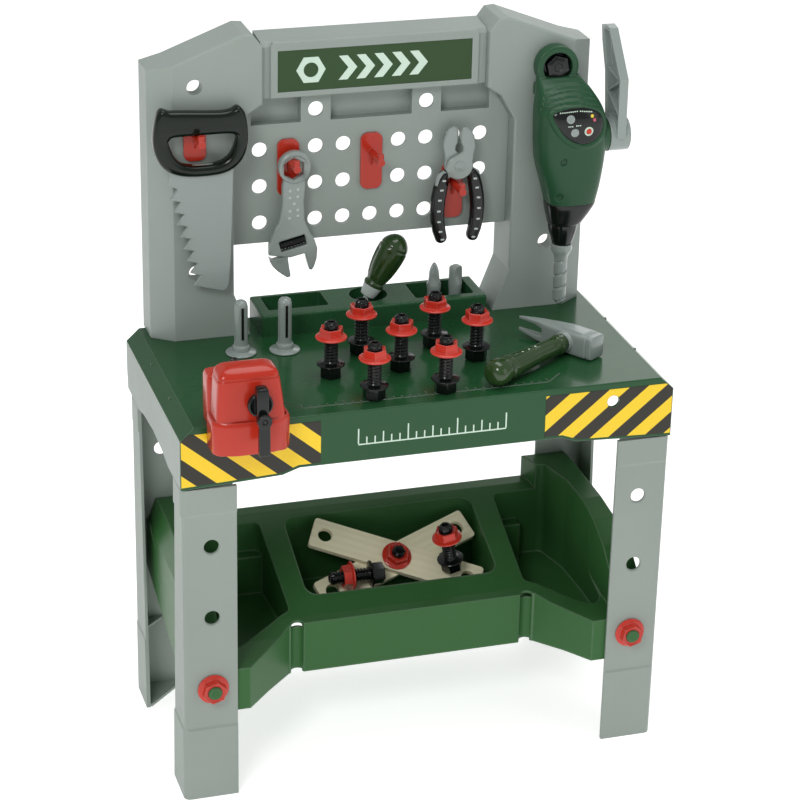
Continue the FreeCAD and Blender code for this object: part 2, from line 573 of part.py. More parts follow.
worm_grooves = [turned([(4.3, h), (6, h), (6, h + 1.4), (4.3, h + 1.4)], (-15, 0, 0), (1, 0, 0))
                for h in (3, 7, 11, 15, 19, 23, 27)]
trunnion = rod((-21, 0, 0), (1, 0, 0), 2.0, 42)
parts["wrench_worm"] = tipped(fuse([worm.cut(worm_grooves), trunnion]))

# ---------------------------------------------------------------- pliers

pivot = (107.5, 687.0)
py0, pym, py1 = 249.0, 254.0, 259.0


def disc(y0, y1, radius):
    return rod((pivot[0], y0, pivot[1]), (0, 1, 0), radius, y1 - y0)


# The front half is the lower disc with the right jaw, the rear half is its mirror image one layer back.
half_points = [(109.5, 721.6), (109.5, 731.5), (112, 735), (115.5, 736.3), (121, 731.6), (126, 721),
               (126.6, 710.6), (124.6, 701), (123, 695), (124, 690), (122, 676), (113.5, 670), (98.5, 670),
               (91, 676), (89.6, 684), (91, 690), (95.4, 696), (104.5, 701), (111.5, 704), (115.5, 709),
               (114.3, 718)]
arm = [(97, 675), (88, 682), (80, 677), (77, 664), (83, 660), (90, 668)]


def pliers_half(y0, y1):
    shape = fuse([prism_xz(half_points, y0, y1), disc(y0, y1, 18.0), prism_xz(arm, y0, y1)])
    return shape.cut(disc(py0 - 2, py1 + 2, 4.05))


parts["pliers_half_left"] = pliers_half(py0, pym - 0.03)
rear_blank = pliers_half(pym + 0.03, py1)
parts["pliers_half_right"] = rear_blank.mirror(V(pivot[0], 0, 0), V(1, 0, 0))
head_disc = disc(py0 - 1.6, py0 - 0.05, 7)
tail_disc = disc(py1 + 0.05, py1 + 1.4, 7)
parts["pliers_pivot"] = fuse([head_disc, disc(py0 - 1, py1 + 1, 4.0), tail_disc])
grip_points = [(80, 680), (75.5, 668), (73, 652), (71.5, 632), (72.5, 612), (77, 596), (84, 585.5),
               (91, 584.5), (95.5, 590), (93, 600), (88.5, 617), (87.5, 636), (90.5, 651), (95, 660),
               (93, 664), (86, 670)]
grip_blank = cushion(grip_points, py0 - 2.5, py1 + 2.5, 2).cut(disc(240, 270, 18.6))
parts["pliers_grip_left"] = grip_blank.cut(parts["pliers_half_left"])
grip_mirror = grip_blank.mirror(V(pivot[0], 0, 0), V(1, 0, 0))
parts["pliers_grip_right"] = grip_mirror.cut(parts["pliers_half_right"])

# ---------------------------------------------------------------- drill

body_rows = [(643, 241, 220, 31, 25), (665, 240, 219, 36, 27.5), (700, 237, 217.5, 43, 29),
             (735, 236, 216.5, 45, 30), (762, 233, 217, 42, 29.5), (784, 228.5, 224, 34, 22),
             (798, 224.5, 236, 27, 10)]


def squircle(z, xc, yc, a, b, shrink=0.0):
    """Rounded rectangular loop at one height, as a smooth closed curve."""
    pts = []
    for k in range(16):
        t = math.radians(22.5 * k + 11.25)
        c, s = math.cos(t), math.sin(t)
        x = math.copysign(abs(c) ** 0.7, c) * (a - shrink)
        y = math.copysign(abs(s) ** 0.7, s) * (b - shrink)
        pts.append(V(xc + x, yc + y, z))
    curve = Part.BSplineCurve()
    curve.interpolate(pts, PeriodicFlag=True)
    return Part.Wire(curve.toShape())


drill_solid = Part.makeLoft([squircle(*row) for row in body_rows], True, False)
inner_rows = [(640,) + body_rows[0][1:], ] + list(body_rows[1:5]) + [(776, 230, 222, 36, 24)]
drill_cavity = Part.makeLoft([squircle(*row, shrink=3.0) for row in inner_rows], True, False)
loop_centre = (222.5, 809.4)
loop = rod((loop_centre[0], 229, loop_centre[1]), (0, 1, 0), 26.5, 17)
loop_neck = prism_xz([(196.2, 809), (200, 780), (258, 780), (248.8, 809)], 229, 246)
drill_solid = fuse([drill_solid, loop, loop_neck])
vents = []
for k, y in enumerate((214.0, 204.5, 200.0, 195.6)):
    z = 790.5 - 6.5 * k
    vents.append(box(208 - 3 * k, 245 + 5 * k, 170, y, z, z + 2.6))
drill_holes = [rod((loop_centre[0], 220, loop_centre[1]), (0, 1, 0), 18.5, 40),
               rod((240, drill_y, crank_z), (1, 0, 0), 16.1, 60),
               rod((268.6, drill_y, crank_z), (1, 0, 0), 21.1, 60)]
drill_shell = drill_solid.cut([drill_cavity] + drill_holes + vents)
seam = 222.0
front_half = drill_shell.common(box(150, 330, 150, seam, 600, 860))
back_half = drill_shell.common(box(150, 330, seam, 300, 600, 860))
screw_holes = [rod((220.0, 160, 702), (0, 1, 0), 3.2, 55), rod((219.0, 160, 655), (0, 1, 0), 3.2, 55)]
screw_holes += [rod((220.0, 214, 702), (0, 1, 0), 2.0, 20), rod((219.0, 214, 655), (0, 1, 0), 2.0, 20)]
posts = [rod((x, 170, z), (0, 1, 0), 6.5, 74) for x, z in ((220.0, 702), (219.0, 655))]
posts = [p.common(drill_solid) for p in posts]
front_posts = [p.common(box(150, 330, 150, seam, 600, 860)) for p in posts]
back_posts = [p.common(box(150, 330, seam, 300, 600, 860)) for p in posts]
front_half = front_half.fuse(front_posts).cut(screw_holes)
back_half = back_half.fuse(back_posts)
pin_holes = [rod((x, 200, z), (0, 1, 0), 2.0, 37) for x, z in ((220.0, 702), (219.0, 655))]
parts["drill_shell_front"] = front_half
parts["drill_shell_back"] = back_half.cut(pin_holes)
parts["drill_screws"] = group([rod((x, 212, z), (0, 1, 0), 3.0, 3).fuse(rod((x, 214, z), (0, 1, 0), 1.9, 22))
                               for x, z in ((220.0, 702), (219.0, 655))])

nose_top = squircle(642.9, 241, 220, 30.9, 24.9)
nose_upper = Part.makeLoft([squircle(614, 235, 220, 20, 19), nose_top], True, False)
nose_lower = turned([(0, 586), (12, 586), (16.5, 600), (18.5, 614.2), (0, 614.2)], (drill_x, drill_y, 0),
                    (0, 0, 1))
nose = fuse([nose_upper, nose_lower])
nose_bore = rod((drill_x, drill_y, 560), (0, 0, 1), 6.1, 100)
parts["drill_nose"] = nose.cut(nose_bore)

spindle = rod((drill_x, drill_y, 560), (0, 0, 1), 6.05, 156)
bit = rod((drill_x, drill_y, 511), (0, 0, 1), 8.2, 62)
bit_collar = turned([(0, 566), (8.2, 566), (9.5, 573), (12.5, 577), (12.8, 585.8), (0, 585.8)],
                    (drill_x, drill_y, 0), (0, 0, 1))
bit_tip = Part.makeCone(3.5, 8.2, 5, V(drill_x, drill_y, 506), V(0, 0, 1))
helix = Part.makeHelix(18.0, 50.0, 8.6)
helix.translate(V(drill_x, drill_y, 508))
groove = Part.Wire(Part.Circle(V(drill_x + 8.6, drill_y, 508), V(0, 1, 0), 2.0).toShape())
flute = Part.Wire(helix.Edges).makePipeShell([groove], True, True)
cone_bit = Part.makeCone(12.9, 7.9, 5.0, V(drill_x, drill_y, crank_z - 13.0), V(0, 0, 1))
parts["drill_bit"] = fuse([spindle, bit, bit_collar, bit_tip, cone_bit]).cut(flute)

crank_y = drill_y
parts["drill_collar"] = turned([(7.1, 0), (16.0, 0), (16.0, 5.2), (21, 5.2), (21, 20), (7.1, 20)],
                               (263.5, crank_y, crank_z), (1, 0, 0))
axle = rod((drill_x + 8.2, crank_y, crank_z), (1, 0, 0), 7.05, 52)
hub_shape = rod((284.4, crank_y, crank_z), (1, 0, 0), 21, 25.6)
arm_side = [(196, 724), (197, 798), (240, 851), (252, 853), (266, 849), (262, 830), (248, 796), (238, 724)]
arm_solid = prism_yz([(y + 1, z) for y, z in arm_side], 291, 302)
arm_trough = prism_yz([(201, 746), (201.5, 796), (243, 847), (259, 846), (243, 797), (234, 746)], 290, 299)
arm_ribs = [prism_yz([(y0, z0), (y0, z0 + 2.5), (y1, z1 + 2.5), (y1, z1)], 292, 299.5)
            for y0, z0, y1, z1 in ((199, 750, 240, 772), (240, 772, 199, 796), (199, 794, 244, 800))]
arm_body = arm_solid.cut(arm_trough)
ribs_in = [r.common(arm_solid) for r in arm_ribs]
bevel_wheel = Part.makeCone(7.9, 12.9, 5.0, V(drill_x + 8.2, crank_y, crank_z), V(1, 0, 0))
parts["drill_crank"] = fuse([axle, hub_shape, arm_body, bevel_wheel] + ribs_in)

panel = Part.makeLoft([squircle(*row, shrink=-0.5) for row in body_rows], True, False)
panel = panel.cut(drill_solid)
tear = smooth_plate([(206, 762), (222, 768), (240, 769), (258, 765), (268, 755), (268, 738), (258, 726),
                     (240, 722), (222, 730), (212, 746)], 170, 205)
panel = panel.common(tear)
parts["drill_panel"] = group([max(panel.Solids, key=lambda s: s.Volume)])
knobs = [rod((224, 185.2, 757), (0, 1, 0), 5.2, 2), rod((229, 185.2, 740), (0, 1, 0), 5.2, 2),
         rod((247, 184.6, 741), (0, 1, 0), 5.0, 2)]
knobs = [k.cut(drill_solid).cut(parts["drill_panel"]) for k in knobs]
parts["drill_dials"] = group(knobs)

# ---------------------------------------------------------------- hammer

ham_angle = 31.9
ham_z = 509.2


def hammer_place(shape):
    """Shapes are drawn with the handle along +X and the head along +Y, then laid on the bench."""
    shape.rotate(V(0, 0, 0), V(0, 0, 1), ham_angle)
    shape.translate(V(208, 103, ham_z))
    return shape


head_block = prism_xy([(-14, -38), (14, -38), (15, -20), (14, 8), (9, 34), (4, 58), (-1, 78), (-5, 77),
                       (-8, 50), (-13, 20), (-15, -20)], -16.5, 13.5)
head_block = rounded(head_block, 2, lambda e: e.BoundBox.ZLength < 0.01 and e.BoundBox.YMax < 12)
claw_gap = prism([(-30, 82, -11), (-30, 82, 8), (-30, 44, 5), (-30, 36, -1.5), (-30, 44, -8)], (60, 0, 0))
claw_top = prism([(-30, 34, 14), (-30, 80, 7.5), (-30, 80, 14)], (60, 0, 0))
claw_low = prism([(-30, 34, -17), (-30, 80, -17), (-30, 80, -10.5)], (60, 0, 0))
poll_groove = box(-20, 20, -31, -29.4, -20, 20).cut(box(-13.6, 13.6, -35, -25, -15.6, 12.6))
top_panel = box(-9, 9, -24, 10, 12.5, 20)
eye = rod((-20, 0, -0.6), (1, 0, 0), 9.0, 26)
head = cut(head_block, [claw_gap, claw_top, claw_low, poll_groove, top_panel, eye])
head = head.fuse(rod((-19, 0, -0.6), (1, 0, 0), 12.5, 6).cut(eye)).removeSplitter()
parts["hammer_head"] = hammer_place(head)
profile = [(0, 0), (9.5, 1.6), (14.0, 6), (16.2, 13), (16.2, 20), (14.8, 27), (13.6, 29), (14.6, 31),
           (14.6, 34), (13.0, 48), (12.0, 70), (11.5, 100), (11.2, 136.5), (8.9, 136.5), (8.9, 158), (0, 158)]
handle_shape = turned(profile, (-156, 0, -0.6), (1, 0, 0))
parts["hammer_handle"] = hammer_place(handle_shape)

# ---------------------------------------------------------------- screwdriver and its bits

lean = 29.0
lean_axis = (math.sin(math.radians(lean)), 0, math.cos(math.radians(lean)))
driver_tip = V(-10.5, 275, 498.0)


def along(distance):
    return tuple(driver_tip + V(*lean_axis) * distance)


shaft = [(0, 0), (3.6, 1.2), (3.6, 21), (9.5, 24), (12.0, 35.9), (4.2, 36), (4.2, 60), (0, 60)]
parts["screwdriver_shaft"] = turned(shaft, along(0), lean_axis)
grip_profile = [(4.2, 36), (11.4, 36), (12.4, 38), (12.0, 43), (11.2, 46), (12.6, 52), (14.4, 62), (15.8, 78),
                (15.8, 92), (13, 101), (8.5, 106.5), (3, 108.5), (0, 108.8), (0, 60), (4.2, 60)]
grip_shape = turned(grip_profile, along(0), lean_axis)
flats = []
for k in range(6):
    flute_cut = rod((17.6 * math.cos(math.radians(60 * k)), 17.6 * math.sin(math.radians(60 * k)), 56),
                    (0, 0, 1), 3.2, 36)
    flats.append(aimed(flute_cut, along(0), lean_axis))
parts["screwdriver_handle"] = grip_shape.cut(flats)

pointed = turned([(0, 0), (7.4, 0), (7.4, 24), (9.1, 30), (9.1, 40), (6.5, 48), (2.2, 58), (0, 59)],
                 (86, 272, 495.1), (0, 0, 1))
quarters = [aimed(box(x0, x0 + 10, y0, y0 + 10, 36, 62), (86, 272, 495.1), (0, 0, 1))
            for x0, y0 in ((1.7, 1.7), (-11.7, 1.7), (-11.7, -11.7), (1.7, -11.7))]
slotted = turned([(0, 0), (7.0, 0), (7.0, 22), (7.8, 27), (7.8, 47), (5.5, 51), (0, 52)], (114, 272, 495.1),
                 (0, 0, 1))
flanks = [box(100, 130, 273.8, 285, 528, 560), box(100, 130, 260, 270.2, 528, 560)]
parts["screwdriver_bits"] = group([pointed.cut(quarters), slotted.cut(flanks)])

# ---------------------------------------------------------------- planks and fasteners in the tray

plank_centre = V(17, 183, 195.5)
plank_thick = 8.0


def plank(angle, low):
    """Wooden strip with a hole near each end and one in the middle, in the tilted plank plane."""
    strip = box(-112, 112, -20, 20, low, low + plank_thick)
    strip = rounded(strip, 4, upright_edge)
    strip = strip.cut([rod((x, 0, low - 1), (0, 0, 1), 8.55 if x == 0 else 9.0, 12)
                       for x in (-94.5, 0, 94.5)])
    strip.rotate(V(0, 0, 0), V(0, 0, 1), angle)
    return tilted(strip)


def tilted(shape):
    shape.rotate(V(0, 0, 0), V(1, 0, 0), plank_slope)
    shape.translate(plank_centre)
    return shape


parts["plank_upper"] = plank(-25.6, -plank_thick)
parts["plank_lower"] = plank(19.9, -2 * plank_thick - 0.05)
parts["plank_bolt"] = tilted(bolt((0, 0, -2 * plank_thick - 18.6), (0, 0, 1)))
parts["plank_nut"] = tilted(nut((0, 0, 0.05), (0, 0, 1)))

lying = bolt((-8.5, 157.0, 189.8), (-1, 0, 0))
lying_nut = nut((-48.5, 157.0, 189.8), (-1, 0, 0))
stand_axis = V(-0.204, -0.13, 0.97)
stand_axis.normalize()
stand_base = V(82, 155, 184)
standing = bolt(tuple(stand_base), tuple(stand_axis))
standing_nut = nut(tuple(stand_base + stand_axis * 42), tuple(stand_axis))
parts["loose_bolts"] = group([lying, standing])
parts["loose_nuts"] = group([lying_nut, standing_nut])

# ---------------------------------------------------------------- export

# The frame's origin is on the floor, under the middle of the whole object's outline.
middle = V(5.0, 118.0, 0.0)
os.makedirs("parts", exist_ok=True)
for name, shape in parts.items():
    shape.translate(middle * -1)
    shape.exportStep("parts/%s.step" % name)
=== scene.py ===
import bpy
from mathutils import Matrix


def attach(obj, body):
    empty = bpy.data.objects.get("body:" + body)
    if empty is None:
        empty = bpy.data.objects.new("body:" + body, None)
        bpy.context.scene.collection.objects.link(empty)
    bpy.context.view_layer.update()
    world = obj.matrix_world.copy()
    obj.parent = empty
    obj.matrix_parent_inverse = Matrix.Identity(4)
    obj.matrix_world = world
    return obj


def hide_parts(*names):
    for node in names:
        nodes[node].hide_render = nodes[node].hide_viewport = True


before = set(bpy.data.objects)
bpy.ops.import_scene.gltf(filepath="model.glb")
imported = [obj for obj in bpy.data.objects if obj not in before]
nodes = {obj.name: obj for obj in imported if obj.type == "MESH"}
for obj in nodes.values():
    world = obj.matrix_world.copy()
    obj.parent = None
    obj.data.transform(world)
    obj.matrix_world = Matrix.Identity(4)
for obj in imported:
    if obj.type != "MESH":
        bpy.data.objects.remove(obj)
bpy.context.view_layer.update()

import math

import bmesh
import bpy
from mathutils import Matrix, Vector

# Shapes below are written in the bench's own millimetres: X from the bench's middle, Y from the front
# apron, Z from the floor. This offset takes them to the frame's origin.
OFFSET = Vector((-5.0, -118.0, 0.0))

BENCH_TOP = 492.05                 # where the bolts and nails stand on the worktop
PLANK_CENTRE = (17, 183, 195.5)    # the bolt's axis crosses the two wooden planks here
PLANK_SLOPE = math.atan(0.8)       # the planks lean back by this much in the tray
WRENCH_TILT = math.radians(13)     # the wrench's head is turned to its handle by this much
WRENCH_WORM = (-102.4, 254, 605)   # middle of the wrench's worm screw
PANEL_Y = 249                      # front face of the tools that hang on the pegboard
DRILL_Y = 220                      # middle plane of the drill, its bit and its crank
BIT_X = 234                        # axis of the drill's bit
CRANK_Z = 724                      # axis of the drill's crank
VICE_X, VICE_Z = -219, 536         # axis of the vice's screw


def mm(point):
    """Bench millimetres to a place in the frame, in metres."""
    return (Vector(point) + OFFSET) / 1000


# ---------------------------------------------------------------- materials

def colour(r, g, b):
    """sRGB 0-255 to linear."""
    out = []
    for c in (r, g, b):
        c /= 255
        out.append(c / 12.92 if c <= 0.04045 else ((c + 0.055) / 1.055) ** 2.4)
    return (*out, 1.0)


def scaled(c, k):
    """A colour made darker or lighter."""
    return (c[0] * k, c[1] * k, c[2] * k, 1.0)


class Shader:
    """A material and a short way to add and wire its nodes."""

    def __init__(self, name):
        self.material = bpy.data.materials.new(name)
        self.material.use_nodes = True
        self.tree = self.material.node_tree
        self.tree.nodes.clear()

    def add(self, kind, inputs=(), **settings):
        """A shader node; an input that is another node's output is linked, any other is set."""
        node = self.tree.nodes.new("ShaderNode" + kind)
        for key, value in settings.items():
            setattr(node, key, value)
        for key, value in dict(inputs).items():
            if isinstance(value, bpy.types.NodeSocket):
                self.tree.links.new(value, node.inputs[key])
            else:
                node.inputs[key].default_value = value
        return node

    def math(self, operation, a, b=0.0, clamp=False):
        """The result of one sum on two values."""
        return self.add("Math", {0: a, 1: b}, operation=operation, use_clamp=clamp).outputs[0]

    def spread(self, value, low, high):
        """Remap 0..1 to low..high."""
        return self.add("MapRange", {0: value, 3: low, 4: high}).outputs[0]

    def mix(self, factor, a, b):
        """A colour between a and b."""
        return self.add("Mix", {0: factor, 6: a, 7: b}, data_type="RGBA").outputs[2]

    def noise(self, where, scale, detail=2.0, rough=0.5):
        inputs = {"Vector": where, "Scale": scale, "Detail": detail, "Roughness": rough}
        return self.add("TexNoise", inputs).outputs[0]

    def finish(self, **inputs):
        """Wire one Principled surface to the output; its inputs' names have _ for a space."""
        surface = self.add("BsdfPrincipled", {k.replace("_", " "): v for k, v in inputs.items()})
        out = self.add("OutputMaterial")
        self.tree.links.new(surface.outputs[0], out.inputs[0])
        return self.material


def edges(s, radius):
    """Normal rounded at the edges, and a mask that is 1 on an outer edge."""
    soft = s.add("Bevel", {"Radius": radius}, samples=6).outputs[0]
    flat = s.add("NewGeometry").outputs["Normal"]
    facing = s.add("VectorMath", {0: soft, 1: flat}, operation="DOT_PRODUCT").outputs["Value"]
    return soft, s.math("MULTIPLY", s.math("SUBTRACT", 1.0, facing, True), 5.0, True)


def plastic(name, base, rough=0.35, edge=0.8, grain=0.12, wave=0.0, rim=0.35, coat=0.0, dust=0.02, spec=0.3):
    """Moulded plastic: fine tooled grain, slow thickness variation, softened edges lightened by a painted
    highlight, faint scuffs.
    """
    s = Shader(name)
    at = s.add("TexCoord").outputs["Object"]
    soft, mask = edges(s, edge / 1000)
    slow = s.noise(at, 7.0, 3.0)
    mottle = s.noise(at, 70.0, 4.0, 0.6)
    fine = s.noise(at, 1300.0, 2.0)
    body = s.mix(s.spread(slow, -0.2, 1.2), scaled(base, 0.92), scaled(base, 1.08))
    body = s.mix(s.math("MULTIPLY", mottle, dust), body, (0.7, 0.72, 0.68, 1.0))
    # Painted highlight: each outer edge is lightened towards a pale tint, by as much as rim says.
    pale = s.mix(0.45, base, (0.85, 0.9, 0.86, 1.0))
    body = s.mix(s.math("MULTIPLY", mask, rim), body, pale)
    scratch = s.noise(s.add("Mapping", {0: at, "Scale": (900.0, 40.0, 240.0)}).outputs[0], 1.0, 3.0, 0.65)
    shine = s.math("ADD", s.spread(mottle, rough - 0.05, rough + 0.07), s.spread(scratch, -0.03, 0.05))
    bump = s.add("Bump", {"Strength": grain, "Distance": 0.00012, "Height": fine, "Normal": soft}).outputs[0]
    if wave:
        bump = s.add("Bump", {"Strength": wave, "Distance": 0.002, "Height": s.noise(at, 22.0, 1.0),
                              "Normal": bump}).outputs[0]
    return s.finish(Base_Color=body, Roughness=shine, Normal=bump, Coat_Weight=coat, Coat_Roughness=0.08,
                    Specular_IOR_Level=spec)


m_grey = plastic("grey_plastic", colour(146, 156, 150), 0.42, 1.6, 0.2, 0.05, 0.4)
m_leg = plastic("grey_leg_plastic", colour(142, 152, 145), 0.42, 1.2, 0.2, 0.06, 0.35)
m_green = plastic("worktop_green", colour(30, 76, 42), 0.2, 1.5, 0.06, 0.12, 0.4, 0.15, 0.006, 0.22)
m_tray = plastic("tray_green", colour(50, 96, 50), 0.33, 3.5, 0.12, 0.06, 0.25, 0.0, 0.008, 0.2)
m_rack = plastic("rack_green", colour(36, 80, 48), 0.26, 1.5, 0.08, 0.08, 0.4, 0.0, 0.006, 0.25)
m_drill = plastic("drill_green", colour(36, 76, 50), 0.3, 1.2, 0.12, 0.0, 0.25, 0.0, 0.006, 0.25)
m_red = plastic("red_gloss", colour(180, 44, 26), 0.2, 1.2, 0.04, 0.08, 0.3, 0.25, 0.006, 0.25)
m_black_gloss = plastic("black_gloss", colour(12, 15, 15), 0.16, 0.6, 0.05, 0.0, 0.05, 0.0, 0.002, 0.4)
m_nut = plastic("nut_red", colour(196, 46, 30), 0.24, 0.9, 0.05, 0.0, 0.45, 0.25, 0.01, 0.3)
m_yellow = plastic("lamp_yellow", colour(236, 206, 60), 0.2, 0.3, 0.05)
m_pink = plastic("lamp_pink", colour(196, 90, 110), 0.2, 0.3, 0.05)
m_pale_edge = plastic("pale_edge", colour(186, 196, 192), 0.3, 0.3, 0.1, 0.0, 0.6)
m_saw_grip = plastic("saw_grip_gloss", colour(8, 20, 12), 0.12, 1.5, 0.04, 0.12, 0.04, 0.0, 0.002, 0.32)
m_silver = plastic("silver_plastic", colour(138, 149, 145), 0.2, 0.9, 0.08, 0.0, 0.75, 0.3, 0.02, 0.45)
m_olive = plastic("olive_gloss", colour(38, 64, 26), 0.12, 0.8, 0.05, 0.05, 0.3, 0.3, 0.006, 0.4)
m_sign = plastic("sign_green", colour(50, 76, 44), 0.35, 0.3, 0.1, 0.0, 0.35, 0.0, 0.01, 0.2)
m_mint = plastic("mint_print", colour(205, 226, 210), 0.45, 0.2, 0.1, 0.0, 0.0)
m_steel = plastic("screw_steel", colour(150, 152, 154), 0.3, 0.3, 0.3)


def wood(name, angle, slope):
    """Pale plywood strip: grain along the strip, darker pores, slightly browned cut edges.

    The angle turns the grain about Z and the slope lays it back about X."""
    s = Shader(name)
    at = s.add("TexCoord").outputs["Object"]
    level = s.add("VectorRotate", {"Vector": at, "Angle": -slope, "Center": mm(PLANK_CENTRE)},
                  rotation_type="X_AXIS").outputs[0]
    local = s.add("VectorRotate", {"Vector": level, "Angle": -angle, "Center": mm(PLANK_CENTRE)},
                  rotation_type="Z_AXIS").outputs[0]
    soft, mask = edges(s, 0.0009)
    long_grain = s.noise(s.add("Mapping", {0: local, "Scale": (9.0, 210.0, 160.0)}).outputs[0], 1.0, 5.0, 0.6)
    pores = s.noise(s.add("Mapping", {0: local, "Scale": (90.0, 1500.0, 900.0)}).outputs[0], 1.0, 2.0, 0.7)
    wave = s.add("TexWave", {"Vector": s.add("Mapping", {0: local, "Scale": (1.6, 34.0, 16.0)}).outputs[0],
                             "Scale": 1.0, "Distortion": 5.0, "Detail": 3.0, "Detail Scale": 0.7},
                 bands_direction="Y").outputs[0]
    body = s.mix(long_grain, colour(244, 236, 198), colour(255, 250, 222))
    body = s.mix(s.math("MULTIPLY", wave, 0.16), body, colour(214, 200, 164))
    dots = s.math("MULTIPLY", s.math("GREATER_THAN", pores, 0.68), 0.3)
    body = s.mix(dots, body, colour(150, 128, 88))
    body = s.mix(s.math("MULTIPLY", mask, 0.3), body, colour(160, 138, 96))
    height = s.math("ADD", s.math("MULTIPLY", long_grain, 0.6), s.math("MULTIPLY", pores, 0.4))
    bump = s.add("Bump", {"Strength": 0.35, "Distance": 0.0003, "Height": height, "Normal": soft}).outputs[0]
    return s.finish(Base_Color=body, Roughness=s.spread(long_grain, 0.62, 0.48), Normal=bump)


def stripes(name, lean):
    """Hazard label: yellow and near-black bars, leaning by 1 or -1, printed on a thin film."""
    s = Shader(name)
    at = s.add("TexCoord").outputs["Object"]
    axis = s.add("SeparateXYZ", {0: at})
    pitch, rise = 50.0, 1.19
    slant = s.math("MULTIPLY", axis.outputs[2], lean * rise * 1000)
    along = s.math("ADD", s.math("MULTIPLY", axis.outputs[0], 1000.0), slant)
    phase = s.math("FRACT", s.math("DIVIDE", s.math("ADD", along, 100 * pitch), pitch))
    soft_edge = s.add("MapRange", {0: s.math("PINGPONG", phase, 0.5), 1: 0.245, 2: 0.255}).outputs[0]
    ink = s.noise(at, 500.0, 3.0)
    yellow = s.mix(ink, colour(236, 196, 12), colour(246, 210, 30))
    black = s.mix(ink, colour(20, 16, 2), colour(32, 27, 6))
    body = s.mix(soft_edge, yellow, black)
    bump = s.add("Bump", {"Strength": 0.06, "Distance": 0.0002, "Height": s.noise(at, 160.0, 2.0)}).outputs[0]
    return s.finish(Base_Color=body, Roughness=s.spread(ink, 0.32, 0.44), Normal=bump)


m_hazard_left = stripes("hazard_left", 1)
m_hazard_right = stripes("hazard_right", -1)

# The CAD nodes that stay in sight; every other node is replaced by a piece made below.
node_material = {
    m_grey: ("upright_left", "upright_right", "pegboard", "header", "side_rail_left", "side_rail_right"),
    m_leg: ("leg_front_left", "leg_front_right", "leg_rear_left", "leg_rear_right"),
    m_green: ("worktop",),
    m_rack: ("tool_rack",),
    m_tray: ("tray", "tray_studs"),
    m_red: ("tool_hooks",),
    m_silver: ("drill_crank",),
    m_sign: ("sign_plate",),
    m_mint: ("sign_chevrons", "sign_nut_mark", "ruler_scale"),
    m_steel: ("drill_screws",),
    m_hazard_left: ("hazard_label_left",),
    m_hazard_right: ("hazard_label_right",),
    wood("pale_wood_upper", math.radians(-25.6), PLANK_SLOPE): ("plank_upper",),
    wood("pale_wood_lower", math.radians(19.9), PLANK_SLOPE): ("plank_lower",),
}
for material, names in node_material.items():
    for name in names:
        data = nodes[name].data
        data.materials.clear()
        data.materials.append(material)


# ---------------------------------------------------------------- modelling tools

def sheet(rings, loop=False):
    """Points and faces that join equal rings; the two ends are closed, or joined to each other."""
    count, rows = len(rings[0]), len(rings)
    faces = []
    for i in range(rows if loop else rows - 1):
        a, b = i * count, (i + 1) % rows * count
        for k in range(count):
            n = (k + 1) % count
            faces.append((a + k, a + n, b + n, b + k))
    if not loop:
        faces.append(tuple(range(count - 1, -1, -1)))
        faces.append(tuple(range((rows - 1) * count, rows * count)))
    return [p for ring in rings for p in ring], faces


def mesh_of(name, points, faces, material, sharp=38):
    """Smooth-shaded mesh in millimetres about its own origin, with its sharp edges marked."""
    mesh = bpy.data.meshes.new(name)
    bm = bmesh.new()
    made = [bm.verts.new(Vector(p) / 1000) for p in points]
    for face in faces:
        bm.faces.new([made[k] for k in face])
    bmesh.ops.recalc_face_normals(bm, faces=bm.faces)
    for face in bm.faces:
        face.smooth = True
    for edge in bm.edges:
        if len(edge.link_faces) == 2:
            edge.smooth = edge.calc_face_angle() < math.radians(sharp)
    bm.to_mesh(mesh)
    bm.free()
    mesh.materials.append(material)
    return mesh


def put(name, mesh, body, replaced=(), place=(0, 0, 0), axis=(0, 0, 1), spin=0.0):
    """One object of a mesh, its Z axis turned to an axis, riding on a CAD body."""
    piece = bpy.data.objects.new(name, mesh)
    bpy.context.scene.collection.objects.link(piece)
    turn = Vector((0, 0, 1)).rotation_difference(Vector(axis)).to_matrix().to_4x4()
    piece.matrix_world = Matrix.Translation(mm(place)) @ turn @ Matrix.Rotation(spin, 4, "Z")
    bpy.context.view_layer.update()
    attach(piece, body)
    if replaced:
        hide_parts(*replaced)
    return piece


def lathe(profile, around=48, shape=None):
    """Rings about Z from (height, radius, hexness) rows; shape(angle, height, radius) may change a radius."""
    rings = []
    for height, radius, hexness in profile:
        ring = []
        for k in range(around):
            angle = 2 * math.pi * k / around
            facet = angle % (math.pi / 3) - math.pi / 6
            r = radius * (1 - hexness + hexness * math.cos(math.pi / 6) / math.cos(facet))
            if shape:
                r = shape(angle, height, r)
            ring.append((r * math.cos(angle), r * math.sin(angle), height))
        rings.append(ring)
    return rings


def plain(rows):
    """Round rows for lathe() from (height, radius) rows."""
    return [(height, radius, 0.0) for height, radius in rows]


def curved(points, steps=6):
    """Closed smooth line through the points."""
    out = []
    count = len(points)
    for k in range(count):
        p0, p1, p2, p3 = (Vector(points[(k + j) % count]) for j in (-1, 0, 1, 2))
        for j in range(steps):
            t = j / steps
            out.append(0.5 * (2 * p1 + (p2 - p0) * t + (2 * p0 - 5 * p1 + 4 * p2 - p3) * t * t
                              + (3 * p1 - p0 - 3 * p2 + p3) * t * t * t))
    return out


def loop_of(points, steps=6):
    """A closed smooth line through (x, z) points, as plain pairs."""
    return [(p.x, p.y) for p in curved(points, steps)]


